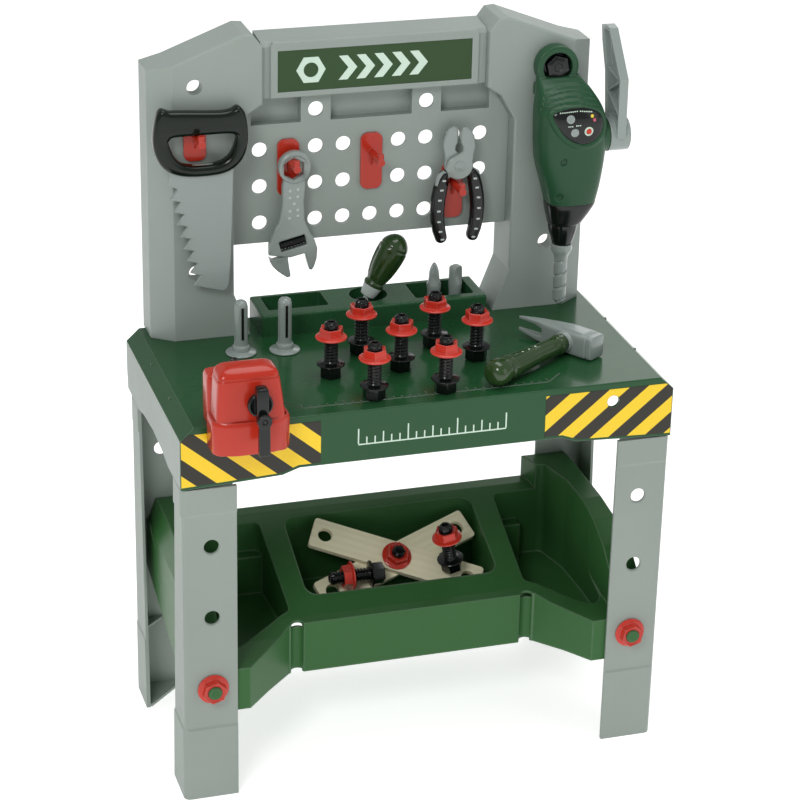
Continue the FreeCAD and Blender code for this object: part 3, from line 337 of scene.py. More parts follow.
def plate(name, loops, y0, y1, edge, material, sharp):
    """Flat piece in the X-Z plane from an outline and holes, with rounded edges."""
    curve = bpy.data.curves.new(name, "CURVE")
    curve.dimensions = "2D"
    curve.fill_mode = "BOTH"
    curve.extrude = ((y1 - y0) / 2 - edge) / 1000
    curve.bevel_depth = edge / 1000
    curve.bevel_resolution = 2
    curve.offset = -edge / 1000
    for loop in loops:
        spline = curve.splines.new("POLY")
        spline.points.add(len(loop) - 1)
        for point, (x, z) in zip(spline.points, loop):
            point.co = (x / 1000, z / 1000, 0, 1)
        spline.use_cyclic_u = True
    holder = bpy.data.objects.new(name, curve)
    made = bpy.data.meshes.new_from_object(holder)
    bpy.data.objects.remove(holder)
    middle = (y0 + y1) / 2
    points = [(v.co.x * 1000, middle - v.co.z * 1000, v.co.y * 1000) for v in made.vertices]
    faces = [tuple(p.vertices) for p in made.polygons]
    bpy.data.meshes.remove(made)
    mesh = mesh_of(name, points, faces, material, sharp)
    bm = bmesh.new()
    bm.from_mesh(mesh)
    bmesh.ops.remove_doubles(bm, verts=bm.verts, dist=1e-6)
    for corner in bm.edges:
        if len(corner.link_faces) == 2:
            corner.smooth = corner.calc_face_angle() < math.radians(sharp)
    bm.to_mesh(mesh)
    bm.free()
    return mesh


def rounded(angle, power):
    """A point of a unit circle that is squared off at its corners; a power of 1 leaves it round."""
    c, s = math.cos(angle), math.sin(angle)
    return math.copysign(abs(c) ** power, c), math.copysign(abs(s) ** power, s)


def soft_ring(x0, x1, y0, y1, z, power, count=72):
    """Rounded rectangular ring at a height; a smaller power has squarer corners."""
    ring = []
    for k in range(count):
        px, py = rounded(2 * math.pi * (k + 0.5) / count, power)
        ring.append(((x0 + x1) / 2 + px * (x1 - x0) / 2, (y0 + y1) / 2 + py * (y1 - y0) / 2, z))
    return ring


def joined(name, groups, material, sharp=38):
    """One mesh from several (points, faces) groups."""
    points, faces = [], []
    for more_points, more_faces in groups:
        start = len(points)
        points += more_points
        faces += [tuple(k + start for k in face) for face in more_faces]
    return mesh_of(name, points, faces, material, sharp)


def add(name, groups, material, body, replaced=(), sharp=38, **where):
    """One object made of (points, faces) groups; see put() for the rest."""
    put(name, joined(name, groups, material, sharp), body, replaced, **where)


def add_plate(name, loops, layer, edge, material, body, replaced=(), sharp=60):
    """One flat object between two depths, from its outline and holes."""
    put(name, plate(name, loops, *layer, edge, material, sharp), body, replaced)


def moved(group, place, axis=(0, 0, 1)):
    """A (points, faces) group turned from Z to an axis and moved."""
    turn = Vector((0, 0, 1)).rotation_difference(Vector(axis)).to_matrix()
    points, faces = group
    return [tuple(turn @ Vector(p) + Vector(place)) for p in points], faces


# ---------------------------------------------------------------- bolts, nuts and nails

def thread(angle, height, radius):
    """Coarse helical thread, 4 mm of pitch, up to a tip with six pressed facets."""
    start, end, pitch = 18.6, 64.0, 4
    if height > end:
        return radius * (1 - 0.16 * max(0.0, math.cos(6 * angle)) * min(1.0, (height - end) / 3))
    if height < start:
        return radius
    phase = abs((height / pitch - angle / (2 * math.pi)) % 1 - 0.5) * 2
    groove = max(0.0, min(1.0, (0.78 - phase) / 0.42))
    fade = max(0.0, min(1.0, (height - start) / 2.5, (end - height) / 1.5))
    return radius - 1.25 * groove * fade


bolt_profile = [(0.0, 5.0, 1.0), (0.0, 12.2, 1.0), (0.6, 13.0, 1.0), (1.8, 13.6, 1.0), (14.2, 13.6, 1.0),
                (15.0, 14.6, 0.6), (15.2, 16.4, 0.0), (15.7, 16.9, 0.0), (16.5, 16.9, 0.0), (17.2, 16.2, 0.0),
                (18.0, 11.6, 0.0), (18.5, 8.6, 0.0)]
bolt_profile += [(18.6 + 0.5 * k, 8.45, 0.0) for k in range(98)]
bolt_profile += [(68.2, 8.0, 0.4), (69.4, 7.2, 1.0), (70.0, 6.6, 1.0), (70.0, 5.2, 1.0), (69.4, 4.6, 1.0),
                 (66.0, 4.2, 1.0)]
nut_profile = [(0.4, 8.6, 0.0), (0.0, 9.4, 0.0), (0.0, 17.6, 0.0), (0.35, 18.5, 0.0), (1.1, 18.9, 0.0),
               (2.0, 18.7, 0.0), (2.5, 17.9, 0.0), (3.0, 16.2, 0.2), (3.6, 15.2, 0.9), (4.6, 14.9, 1.0),
               (9.0, 14.7, 1.0), (12.2, 14.6, 1.0), (13.1, 14.1, 1.0), (13.4, 13.2, 0.8), (13.1, 12.3, 0.3),
               (12.2, 11.6, 0.0), (11.6, 9.6, 0.0), (11.4, 8.6, 0.0)]
bolt_mesh = mesh_of("toy_bolt", *sheet(lathe(bolt_profile, 60, thread)), m_black_gloss, 34)
nut_mesh = mesh_of("toy_nut", *sheet(lathe(nut_profile, 72), loop=True), m_nut, 34)
nut_height = 49.0
spins = (0.2, 0.9, 0.55, 0.1, 0.75, 0.4, 1.0)
bolt_places = [(-95, 102), (-41, 160), (-63, 30), (-9, 101), (51, 159), (23, 28), (88, 109)]
for k, ((x, y), spin) in enumerate(zip(bolt_places, spins), 1):
    put("bench_bolt_%d" % k, bolt_mesh, "bench_bolts", ["bench_bolts"], (x, y, BENCH_TOP), spin=spin)
    put("bench_nut_%d" % k, nut_mesh, "bench_nuts", ["bench_nuts"], (x, y, BENCH_TOP + nut_height),
        spin=spin / 2)
for name, x in (("left", -264), ("right", 264)):
    put("tray_nut_front_" + name, nut_mesh, "bench", ["tray_nuts"], (x, 1.4, 149.5), (0, -1, 0), 0.3)
    put("tray_nut_rear_" + name, nut_mesh, "bench", ["tray_nuts"], (x, 280.6, 244.2), (0, 1, 0), 0.1)
hanger_rows = [(0.8, 5.0, 1.0), (0.0, 6.0, 1.0), (0.0, 13.6, 1.0), (0.9, 15.2, 1.0), (9.0, 15.8, 1.0),
               (9.8, 17.2, 0.0), (10.6, 18.0, 0.0), (13.0, 18.0, 0.0), (13.4, 9.0, 0.0), (40.0, 8.6, 0.0)]
add("hanger_bolt", [sheet(lathe(hanger_rows))], m_black_gloss, "bench", ["drill_hanger_bolt"], 34,
    place=(222.5, 227.6, 810), axis=(0, 1, 0), spin=0.3)
lean = Vector((0, -math.sin(PLANK_SLOPE), math.cos(PLANK_SLOPE)))
centre = Vector(PLANK_CENTRE)
# The planks' bolt is the same bolt with four turns of its thread left out.
cut_start, cut = 30.0, 16.0
short_rings = [[(x, y, z if z <= cut_start else z - cut) for x, y, z in ring]
               for ring in lathe(bolt_profile, 60, thread) if not cut_start < ring[0][2] < cut_start + cut]
put("plank_bolt", mesh_of("short_bolt", *sheet(short_rings), m_black_gloss, 34), "planks", ["plank_bolt"],
    centre - lean * 34.6, lean, 0.4)
put("plank_nut", nut_mesh, "planks", ["plank_nut"], centre + lean * 0.05, lean, 0.2)
lying = (-1, 0, 0)
lying_at, lying_nut_at = (-8.5, 157, 189.8), (-48.5, 157, 189.8)
stand = Vector((-0.204, -0.13, 0.97)).normalized()
stand_at = Vector((82, 155, 184))
put("loose_bolt_lying", bolt_mesh, "loose_fasteners", ["loose_bolts"], lying_at, lying, 0.3)
put("loose_nut_lying", nut_mesh, "loose_fasteners", ["loose_nuts"], lying_nut_at, lying, 0.3)
put("loose_bolt_standing", bolt_mesh, "loose_fasteners", ["loose_bolts"], stand_at, stand, 0.1)
put("loose_nut_standing", nut_mesh, "loose_fasteners", ["loose_nuts"], stand_at + stand * 49, stand)


def nail_radius(angle, height, radius):
    """The shank of a nail, pressed in a little along both sides."""
    if height < 12.5 or height > 66:
        return radius
    side = abs(math.cos(angle))
    fade = max(0.0, min(1.0, (height - 12.5) / 2, (66 - height) / 4))
    return radius * (1 - 0.34 * fade * max(0.0, 0.42 - side) / 0.42)


nail_profile = plain([(0.0, 6.0), (0.0, 17.6), (0.5, 18.5), (1.4, 18.8), (2.2, 18.4), (2.9, 17.2),
                      (3.4, 13.0), (4.0, 11.0), (9.2, 10.6), (10.0, 10.2), (10.8, 9.0), (12.5, 8.6)])
nail_profile += plain([(13.0 + 2.4 * k, 8.55) for k in range(21)])
nail_profile += plain([(64.5, 7.8), (66.4, 6.6), (67.8, 4.9), (68.7, 2.8), (69.0, 1.2)])
nail_mesh = mesh_of("toy_nail", *sheet(lathe(nail_profile, 64, nail_radius)), m_silver, 40)
groove_rings = [[(x, y, z) for x, y in ((-1.5, -9.2), (1.5, -9.2), (1.5, 9.2), (-1.5, 9.2))]
                for z in (20, 21.5, 40, 60, 61.2)]
slot_mesh = mesh_of("nail_slot", *sheet(groove_rings), m_black_gloss, 30)
for name, x, y in (("left", -181, 195), ("right", -128, 190)):
    put("nail_" + name, nail_mesh, "nails", ["nails"], (x, y, BENCH_TOP), spin=math.pi / 2)
    put("nail_slot_" + name, slot_mesh, "nails", (), (x, y, BENCH_TOP))


# ---------------------------------------------------------------- vice

tower_rows = [(474, -268, -184, -44, -0.6), (500, -267.5, -185, -43.5, -0.6),
              (520, -266.5, -187, -42.5, -0.6), (540, -265.2, -189.3, -41, -0.6),
              (556, -264, -191.5, -39.5, -0.6), (560, -263.6, -192, -39, -0.6),
              (561.2, -262.4, -193.2, -37.6, -1.4), (562.2, -262.2, -193.4, -37.4, -1.6),
              (563.2, -262.8, -192.8, -38, -1), (566.5, -261.8, -193.6, -37, -1),
              (569.5, -259.5, -195.8, -34.5, -2), (572, -255.5, -200, -30.5, -4.5),
              (573.6, -249, -206, -25, -8.5), (574.1, -240, -215, -19, -13)]
tower = sheet([soft_ring(x0, x1, y0, y1, z, 0.3) for z, x0, x1, y0, y1 in tower_rows])
collar_rows = [(475, -268.5, -182.5, -44.5, -0.7), (474.2, -270, -181, -46, -0.6),
               (476, -271, -180, -47, -0.6), (508, -271, -180, -47, -0.6),
               (512.5, -270.4, -180.6, -46.4, -0.7), (514, -269, -182, -45, -1.2),
               (513.6, -267, -184, -43, -2), (508, -266, -185, -42, -3)]


def bowed(ring):
    """Push the front of a collar ring out in the middle and sweep its right side back."""
    out = []
    for x, y, z in ring:
        across = (x + 225.5) / 45.5
        front = max(0.0, -y - 24) / 23
        out.append((x, y + front * (abs(across) ** 3 * (9 if across < 0 else 13) - 1.5), z))
    return out


collar = sheet([bowed(soft_ring(x0, x1, y0, y1, z, 0.3)) for z, x0, x1, y0, y1 in collar_rows])
add("vice_body", [tower, collar], m_red, "bench", ["vice_base"], 42)
jaw_rows = [(492.4, -266.5, -188.5, 2.2, 33.6), (530, -266.8, -188.3, 2.1, 33.9),
            (547, -266.5, -188.6, 2.2, 33.6), (551, -265, -190, 3.4, 32), (552.8, -261, -194, 6, 29),
            (553, -254, -201, 10, 25)]
add("vice_rear_jaw", [sheet([soft_ring(x0, x1, y0, y1, z, 0.3) for z, x0, x1, y0, y1 in jaw_rows])], m_red,
    "vice_jaw", ["vice_jaw"])
hub = moved(sheet(lathe(plain([(-1, 13.0), (0, 14.4), (1, 14.6), (4.6, 14.4), (5.8, 13.4), (6.0, 12.4),
                               (5.2, 11.4), (5.0, 4.0)]), 48)), (VICE_X, -47.2, VICE_Z), (0, -1, 0))
lever_rows = [(z, -226 + i, -212 - i, -64 + i, -50) for z, i in ((522, 1.4), (523, 0.4), (540, 0), (557, 0.2),
                                                                (559.4, 1), (560, 2.6))]
lever = sheet([soft_ring(x0, x1, y0, y1, z, 0.28, 40) for z, x0, x1, y0, y1 in lever_rows])
pin = moved(sheet(lathe(plain([(0, 3.0), (11, 3.0), (12, 2.2)]), 24)), (VICE_X, -60, VICE_Z - 12), (0, -1, 0))
spindle = moved(sheet(lathe([(h * 0.8, 6.05 - (0.9 if h % 5 in (1, 2) and 6 < h < 148 else 0), 0.0)
                             for h in range(0, 152)], 32)), (VICE_X, -48, VICE_Z), (0, 1, 0))
add("vice_handle", [hub, lever, pin, spindle], m_black_gloss, "vice_screw", ["vice_screw"], 40)
knuckle = moved(sheet(lathe(plain([(0, 3.2), (0, 7.6), (0.8, 8.5), (7.0, 8.5), (7.8, 7.7), (7.8, 3.2)]), 48),
                      loop=True), (VICE_X, -64.2, VICE_Z - 12), (0, -1, 0))
bar_rows = [(518, -225.3, -212.7, -71.6, -64.6), (500, -225.5, -212.5, -71.7, -64.5),
            (484, -225.5, -212.5, -71.7, -64.5), (482, -224.9, -213.1, -71.2, -65),
            (481, -223.4, -214.6, -70, -66)]
bar = sheet([soft_ring(x0, x1, y0, y1, z, 0.3, 40) for z, x0, x1, y0, y1 in bar_rows])
add("vice_swing_bar", [knuckle, bar], m_black_gloss, "vice_bar", ["vice_bar"], 40)


# ---------------------------------------------------------------- drill

drill_rows = [(643, 241, 220, 31, 25), (665, 240, 219, 36, 27.5), (700, 237, 217.5, 43, 29),
              (735, 236, 216.5, 45, 30), (762, 233, 217, 42, 29.5), (784, 228.5, 224, 34, 22),
              (798, 224.5, 236, 27, 10)]
tear = loop_of([(204, 762), (215, 768), (232, 770.5), (250, 768.5), (265, 761), (270.5, 748), (266, 734),
                (252, 725), (236, 725.5), (220, 735), (210, 748)], 8)


def drill_section(z):
    """Middle and half widths of the drill's body at a height, smoothed between the stated rows."""
    rows = drill_rows
    z = max(rows[0][0], min(rows[-1][0] - 1e-6, z))
    k = max(i for i in range(len(rows) - 1) if rows[i][0] <= z)
    before, a, b, after = rows[max(k - 1, 0)], rows[k], rows[k + 1], rows[min(k + 2, len(rows) - 1)]
    t = (z - a[0]) / (b[0] - a[0])
    out = []
    for j in range(1, 5):
        ma = (b[j] - before[j]) / (b[0] - before[0]) * (b[0] - a[0])
        mb = (after[j] - a[j]) / (after[0] - a[0]) * (b[0] - a[0])
        out.append((2 * t**3 - 3 * t**2 + 1) * a[j] + (t**3 - 2 * t**2 + t) * ma
                   + (3 * t**2 - 2 * t**3) * b[j] + (t**3 - t**2) * mb)
    return out


def distance(x, z, loop):
    """Distance from a point to a closed line, negative inside it."""
    best, inside = 1e9, False
    for (x0, z0), (x1, z1) in zip(loop, loop[1:] + loop[:1]):
        dx, dz = x1 - x0, z1 - z0
        t = max(0.0, min(1.0, ((x - x0) * dx + (z - z0) * dz) / (dx * dx + dz * dz)))
        best = min(best, math.hypot(x - x0 - t * dx, z - z0 - t * dz))
        if (z0 > z) != (z1 > z) and x < x0 + (z - z0) / (z1 - z0) * (x1 - x0):
            inside = not inside
    return -best if inside else best


def front_y(x, z):
    """Front surface of the drill's body."""
    xc, yc, a, b = drill_section(z)
    across = min(0.999, abs((x - xc) / a))
    return yc - b * (1 - across ** 2.857) ** 0.35


def swell(x, y, z, yc):
    """How far the skin stands out or in: vent ribs, the panel's lip, screw wells and the part line."""
    out = 0.0
    if y < yc - 2:
        arch = 5.0 * ((x - 230) / 30) ** 2
        for k in range(4):
            gap = abs(z + arch - (791.0 - 5.6 * k))
            if 199 - 2.0 * k < x < 254 + 4.0 * k:
                out -= 1.9 * max(0.0, 1 - (gap / 1.7) ** 2)
        if 715 < z < 778:
            d = distance(x, z, tear)
            out += 1.3 * max(0.0, 1 - ((d - 3.0) / 3.0) ** 2)
            if d < 0:
                out -= 0.8
        for sx, sz in ((220, 702), (219, 655)):
            out -= 3.2 * max(0.0, min(1.0, (4.6 - math.hypot(x - sx, z - sz)) / 1.0))
    out -= 0.8 * max(0.0, 1 - abs(y - 222) / 0.9)
    return out


drill_foot, drill_top = drill_rows[0][0], drill_rows[-1][0]
around, step = 220, 1.15
drill_rings = []
for z in [drill_foot + step * k for k in range(int((drill_top - drill_foot) / step) + 1)] + [drill_top]:
    xc, yc, a, b = drill_section(z)
    ring = []
    for k in range(around):
        px, py = rounded(2 * math.pi * k / around, 0.7)
        x, y = xc + px * a, yc + py * b
        push = swell(x, y, z, yc)
        ring.append((x + px * push * 0.7, y + py * push, z))
    drill_rings.append(ring)
drill_body = sheet(drill_rings)
hoop_rows = [(0.8, 18.6), (0.0, 19.6), (0.0, 25.2), (0.9, 26.3), (4, 26.6), (13, 26.6), (16.1, 26.3),
             (17, 25.2), (17, 19.6), (16.2, 18.6)]
hoop = moved(sheet(lathe(plain(hoop_rows), 64), loop=True), (222.5, 229, 809.4), (0, 1, 0))
neck_rows = [(z, 222.5 - w, 222.5 + w, 230.2, 245.4) for z, w in ((776, 27), (784, 27), (789, 26.5))]
neck = sheet([soft_ring(x0, x1, y0, y1, z, 0.4, 48) for z, x0, x1, y0, y1 in neck_rows])
lip = moved(sheet(lathe(plain([(0, 16.2), (0, 21.6), (2.2, 21.6), (3.2, 20.8), (3.2, 16.2)]), 64), loop=True),
            (277, DRILL_Y, CRANK_Z), (1, 0, 0))
add("drill_shell", [drill_body, hoop, neck, lip], m_drill, "drill", ["drill_shell_front", "drill_shell_back"],
    42)
centre_x, centre_z = 238.0, 749.0
panel_rings = []
for t in [0.02, 0.1, 0.2, 0.3, 0.4, 0.5, 0.6, 0.7, 0.8, 0.88, 0.94, 0.97, 0.985]:
    rim = 0.25 if t < 0.96 else -0.4
    ring = []
    for x, z in tear:
        x, z = centre_x + (x - centre_x) * t, centre_z + (z - centre_z) * t
        ring.append((x, front_y(x, z) - rim, z))
    panel_rings.append(ring)
panel = sheet(panel_rings)
add("drill_panel_face", [panel], m_black_gloss, "drill", ["drill_panel"], 50)


def on_panel(profile, x, z, around=40):
    """A small turned shape standing on the panel, square to its surface."""
    left, right = front_y(x - 1, z), front_y(x + 1, z)
    low, high = front_y(x, z - 1), front_y(x, z + 1)
    across = Vector((2, right - left, 0))
    upward = Vector((0, high - low, 2))
    out = across.cross(upward).normalized()
    if out.y > 0:
        out = -out
    return moved(sheet(lathe(plain(profile), around)), (x, front_y(x, z), z), out)


dial = [(-0.5, 5.2), (1.0, 5.3), (1.7, 4.9), (1.9, 4.2), (1.5, 3.7), (1.6, 0.8)]
add("drill_dial_faces", [on_panel(dial, 225, 757.5), on_panel(dial, 231, 740.5)], m_silver, "drill",
    ["drill_dials"], 40)
ring_rows = [(-0.5, 5.6), (0.9, 5.7), (1.3, 5.2), (1.2, 3.6), (-0.5, 3.6)]
add("drill_button_ring", [on_panel(ring_rows, 249, 741)], m_mint, "drill", sharp=40)
add("drill_button", [on_panel([(-0.5, 3.5), (1.6, 3.5), (2.5, 2.9), (2.9, 1.6), (3.0, 0.3)], 249, 741)],
    m_nut, "drill", sharp=60)
lamp = [(-0.4, 2.2), (0.7, 2.2), (1.3, 1.5), (1.5, 0.3)]
add("drill_lamp_yellow", [on_panel(lamp, 253, 759.5, 20)], m_yellow, "drill", sharp=60)
add("drill_lamp_pink", [on_panel(lamp, 256, 754.5, 20)], m_pink, "drill", sharp=60)
tick_places = []
for x, z, dx, dz, count in ((213, 765.2, 2.6, 0.14, 9), (238, 766.2, 2.4, -0.3, 7), (223, 748.6, 2.3, 0, 3),
                            (233, 749.2, 2.3, 0, 3)):
    tick_places += [(x + dx * k, z + dz * k) for k in range(count)]
ticks = [on_panel([(0.1, 0.9), (0.45, 0.9), (0.55, 0.3)], x, z, 6) for x, z in tick_places]
add("drill_ticks", ticks, m_mint, "drill", sharp=60)
nose_rows = [(642.9, 241, 220, 31.2, 25.2), (641, 240.9, 220, 31.2, 25.3), (636, 240, 220, 29.6, 24.4),
             (628, 238.2, 220, 26.4, 22.6), (620, 236.4, 220, 22.4, 20.4), (616, 235.4, 220, 20.6, 19.4),
             (614.4, 235, 220, 20.2, 19.2), (613.6, 234.6, 220, 18.6, 18.2), (610, 234, 220, 18.2, 18.2),
             (604, 234, 220, 17.2, 17.2), (596, 234, 220, 15.0, 15.0), (589, 234, 220, 12.6, 12.6),
             (586.6, 234, 220, 12.0, 12.0), (586, 234, 220, 11.2, 11.2)]


def nose_ring(z, xc, yc, a, b):
    """Ring of the drill's nose: squarish under the body, round and notched lower down."""
    ring = []
    for k in range(96):
        px, py = rounded(2 * math.pi * k / 96, 0.72 if z > 615 else 0.98)
        notch = -0.05 if z < 612 and k % 16 in (0, 1) else 0.0
        ring.append((xc + px * a * (1 + notch), yc + py * b * (1 + notch), z))
    return ring


nose_rings = [nose_ring(*row) for row in nose_rows]
add("drill_nose_cone", [sheet(nose_rings)], m_black_gloss, "drill", ["drill_nose"], 40)


def flute(angle, height, radius):
    """Two helical flutes cut into the toy bit."""
    start, end, pitch, deep = 507, 566, 17.5, 2.0
    if height < start or height > end:
        return radius
    phase = abs(((height - start - 1) / pitch - angle / (2 * math.pi)) % 1 - 0.5) * 2
    return radius - deep * max(0.0, 1 - (phase / 0.2) ** 2) * min(1.0, (end - height) / 4)


bit_rows = [(506, 2.0), (506.4, 4.0), (508, 6.0), (511, 7.8)] + [(512 + 0.8 * k, 8.2) for k in range(68)]
bit_rows += [(568, 8.6), (571, 9.4), (574.5, 11.0), (577, 12.6), (578.4, 13.0), (585.2, 13.0), (585.9, 12.4)]
add("drill_twist_bit", [moved(sheet(lathe(plain(bit_rows), 64, flute)), (BIT_X, DRILL_Y, 0))], m_silver,
    "drill_bit", ["drill_bit"], 40)
band = moved(sheet(lathe(plain([(0, 15.6), (5.2, 15.8), (5.4, 20.2), (6.2, 21.2), (18.6, 21.2), (20, 20.4),
                                (20, 12)]), 64)), (263.5, DRILL_Y, CRANK_Z), (1, 0, 0))
add("drill_crank_collar", [band], m_drill, "drill", ["drill_collar"], 40)


# ---------------------------------------------------------------- hand tools

saw_outline = loop_of([(-277, 752), (-274, 780), (-267, 793), (-256, 790), (-240, 789), (-200, 786),
                       (-184, 787), (-174, 791), (-166, 780), (-163, 752), (-168, 730), (-180, 716),
                       (-200, 709), (-235, 709), (-258, 716), (-271, 730)])
saw_hole = loop_of([(-258, 750), (-257, 756), (-252, 758.5), (-235, 759), (-205, 759), (-185, 758.5),
                    (-179, 756), (-177.5, 750), (-184, 733), (-197, 723.5), (-218, 721.5), (-238, 723.5),
                    (-250, 732)])
add_plate("saw_grip", [saw_outline, saw_hole], (223.5, 241.5), 5.4, m_saw_grip, "saw", ["saw_handle"])
blade = [(-262, 722), (-180, 722), (-184, 600), (-187, 566), (-190, 561.5), (-195, 560), (-222, 568)]
for k in range(8):
    x, z = -225 - 3.9 * k, 570 + 15.8 * k
    blade += [(x - 4.6, z + 0.5), (x - 3.4, z + 2.2), (x + 4.2, z + 12.5)]
blade += [(-258, 700), (-256, 712)]
add_plate("saw_blade_plate", [blade], (229.9, 235.1), 0.9, m_silver, "saw", ["saw_blade"])

ring_line = [(-100 + 20 * math.cos(math.radians(a)), 702 + 20 * math.sin(math.radians(a)))
             for a in range(-52, 233, 9)]
wrench_line = ring_line + [(-115, 680), (-115.5, 655), (-119, 632), (-127, 616), (-132, 604), (-132.2, 592),
                           (-106, 587), (-87, 591), (-84, 578), (-81.5, 569.5), (-78.5, 568.5), (-75.5, 573),
                           (-72.4, 583), (-71.5, 596), (-74.8, 607), (-82, 620), (-88, 634), (-89, 660),
                           (-87, 680)]
hex_hole = [(-101.5 + 14.2 * math.cos(math.radians(60 * k + 30)),
             700 + 14.2 * math.sin(math.radians(60 * k + 30))) for k in range(6)]


def tilt(x, z):
    """Offsets from the wrench's worm, turned with its head."""
    c, s = math.cos(WRENCH_TILT), math.sin(WRENCH_TILT)
    return (WRENCH_WORM[0] + c * x - s * z, WRENCH_WORM[2] + s * x + c * z)


window = [tilt(x, z) for x, z in ((-16.5, -6), (-15.5, -7), (15.5, -7), (16.5, -6), (16.5, 6), (15.5, 7),
                                  (-15.5, 7), (-16.5, 6))]
dots = []
for x, z in ((-106.5, 673), (-96.5, 674), (-106.5, 664), (-97, 665), (-101.5, 656), (-106.5, 647), (-97, 648),
             (-107, 638), (-96.5, 640)):
    dots.append(moved(sheet(lathe(plain([(0.0, 2.0), (0.5, 1.7), (0.6, 1.0), (0.1, 0.6)]), 16)),
                      (x, 248.9, z), (0, -1, 0)))
wrench_back = PANEL_Y + 10
add_plate("wrench_plate", [wrench_line, hex_hole[::-1], window], (PANEL_Y, wrench_back), 1.4, m_silver,
          "wrench", ["wrench_body"])
add("wrench_dots", dots, m_pale_edge, "wrench", sharp=60)
backing = [tilt(x, z) for x, z in ((-17, -7.5), (17, -7.5), (17, 7.5), (-17, 7.5))]
add_plate("wrench_window_back", [backing], (wrench_back + 0.2, wrench_back + 1.2), 0.2, m_black_gloss,
          "wrench", sharp=50)
rim_rows = [(0.0, 15.2), (-0.9, 16.4), (-1.2, 17.2), (-0.9, 18.6), (0.2, 19.4), (0.6, 18), (0.6, 16)]
eye_rim = moved(sheet(lathe(plain(rim_rows), 56), loop=True), (-100.6, PANEL_Y, 701), (0, 1, 0))
add("wrench_eye_rim", [eye_rim], m_silver, "wrench", sharp=60)
jaw_line = [(-131.8, 589), (-130.6, 583), (-127.5, 577), (-121.5, 570.6), (-114.5, 565), (-110, 561.8),
            (-106.6, 561.6), (-105.2, 564), (-107, 575), (-108.5, 586), (-108.2, 589), tilt(-4, -13.7),
            tilt(-28.4, -13.7)]
add_plate("wrench_jaw_plate", [jaw_line], (PANEL_Y, wrench_back), 1.2, m_silver, "wrench_jaw", ["wrench_jaw"])


def worm_thread(angle, height, radius):
    """Narrow grooves of 4 mm of pitch round the worm's middle."""
    full_turn = 6.2832              # a hair over two pi, so that few points fall on a groove's very edge
    groove = radius > 5.2 and abs((height / 4 - angle / full_turn) % 1 - 0.5) < 0.2
    return radius - 1.2 if groove else radius


worm_rows = [(-20.5, 2.0), (-15.2, 2.0), (-15, 5.0)] + [(-14.6 + 0.5 * k, 5.4) for k in range(59)]
worm_rows += [(15, 5.0), (15.2, 2.0), (20.5, 2.0)]
worm = mesh_of("wrench_worm_screw", *sheet(lathe(plain(worm_rows), 40, worm_thread)), m_black_gloss, 50)
put("wrench_worm_screw", worm, "wrench_worm", ["wrench_worm"], WRENCH_WORM,
    (math.cos(WRENCH_TILT), 0, math.sin(WRENCH_TILT)))

px, pz = 107.5, 687.0              # the pliers' pivot
half = [(108.6, 716), (108.3, 724), (108.5, 730.5), (110.5, 735), (114.5, 736.6), (120, 733.5), (125.5, 724),
        (127.4, 712.6), (125.6, 702), (124.6, 694.5)]
half += [(px + 17.6 * math.cos(math.radians(a)), pz + 17.6 * math.sin(math.radians(a)))
         for a in range(20, -160, -10)]
half += [(89.8, 684), (91.4, 690), (95.4, 696), (102.5, 700), (108.5, 702.5), (111.6, 706), (111.4, 711)]
arm_line = [(97, 675), (88, 682), (80, 677), (77, 664), (83, 660), (90, 668)]


def flipped(points):
    """An outline turned over about the pliers' middle."""
    return [(2 * px - x, z) for x, z in points][::-1]


def oriented(points):
    """An outline running anticlockwise."""
    area = sum(x0 * z1 - x1 * z0 for (x0, z0), (x1, z1) in zip(points, points[1:] + points[:1]))
    return points if area > 0 else points[::-1]


for side, layer, turned_over in (("left", (248.6, 253.9), False), ("right", (254.1, 259.4), True)):
    outline = flipped(half) if turned_over else half
    arm_outline = flipped(arm_line) if turned_over else arm_line
    add_plate("pliers_head_" + side, [oriented(outline)], layer, 1.3, m_silver, "pliers_" + side,
              ["pliers_half_" + side])
    add_plate("pliers_arm_" + side, [oriented(arm_outline)], layer, 1.0, m_silver, "pliers_" + side)
rivet = moved(sheet(lathe(plain([(-12, 3.6), (0, 3.6), (0, 6.6), (0.7, 6.7), (1.3, 6.1), (1.0, 5.0),
                                 (1.4, 4.4), (1.6, 1.0)]), 40)), (px, 248.7, pz), (0, -1, 0))
add("pliers_rivet", [rivet], m_silver, "pliers_left", ["pliers_pivot"], 40)
spine = [(90.5, 681), (87.5, 670), (84.8, 658), (82.6, 645), (81.6, 631), (82.2, 617), (84.4, 604),
         (87.4, 593.5), (89.8, 587.5)]
widths = [3.6, 8.0, 9.0, 9.2, 9.0, 8.8, 8.4, 7.6, 6.0]


def grip_group(mirror):
    """Swept handle sleeve with a rounded end."""
    path = []
    for k in range(len(spine) - 1):
        for j in range(8):
            t = j / 8
            path.append((spine[k][0] * (1 - t) + spine[k + 1][0] * t,
                         spine[k][1] * (1 - t) + spine[k + 1][1] * t,
                         widths[k] * (1 - t) + widths[k + 1] * t))
    rings = []
    for k, (x, z, wide) in enumerate(path):
        ahead, behind = path[min(k + 1, len(path) - 1)], path[max(k - 1, 0)]
        along = Vector((ahead[0] - behind[0], 0, ahead[1] - behind[1])).normalized()
        side = along.cross(Vector((0, 1, 0)))
        cap = min(1.0, math.sqrt(max(0.02, 1 - max(0.0, (k - len(path) + 7) / 7) ** 2)),
                  math.sqrt(max(0.1, 1 - max(0.0, (3 - k) / 3) ** 2)))
        ring = []
        for j in range(28):
            across, through = rounded(2 * math.pi * j / 28, 0.8)
            p = Vector((x, 254, z)) + side * across * wide * cap
            p.y += through * 7.0 * cap
            ring.append((2 * px - p.x if mirror else p.x, p.y, p.z))
        rings.append(ring)
    return sheet(rings)
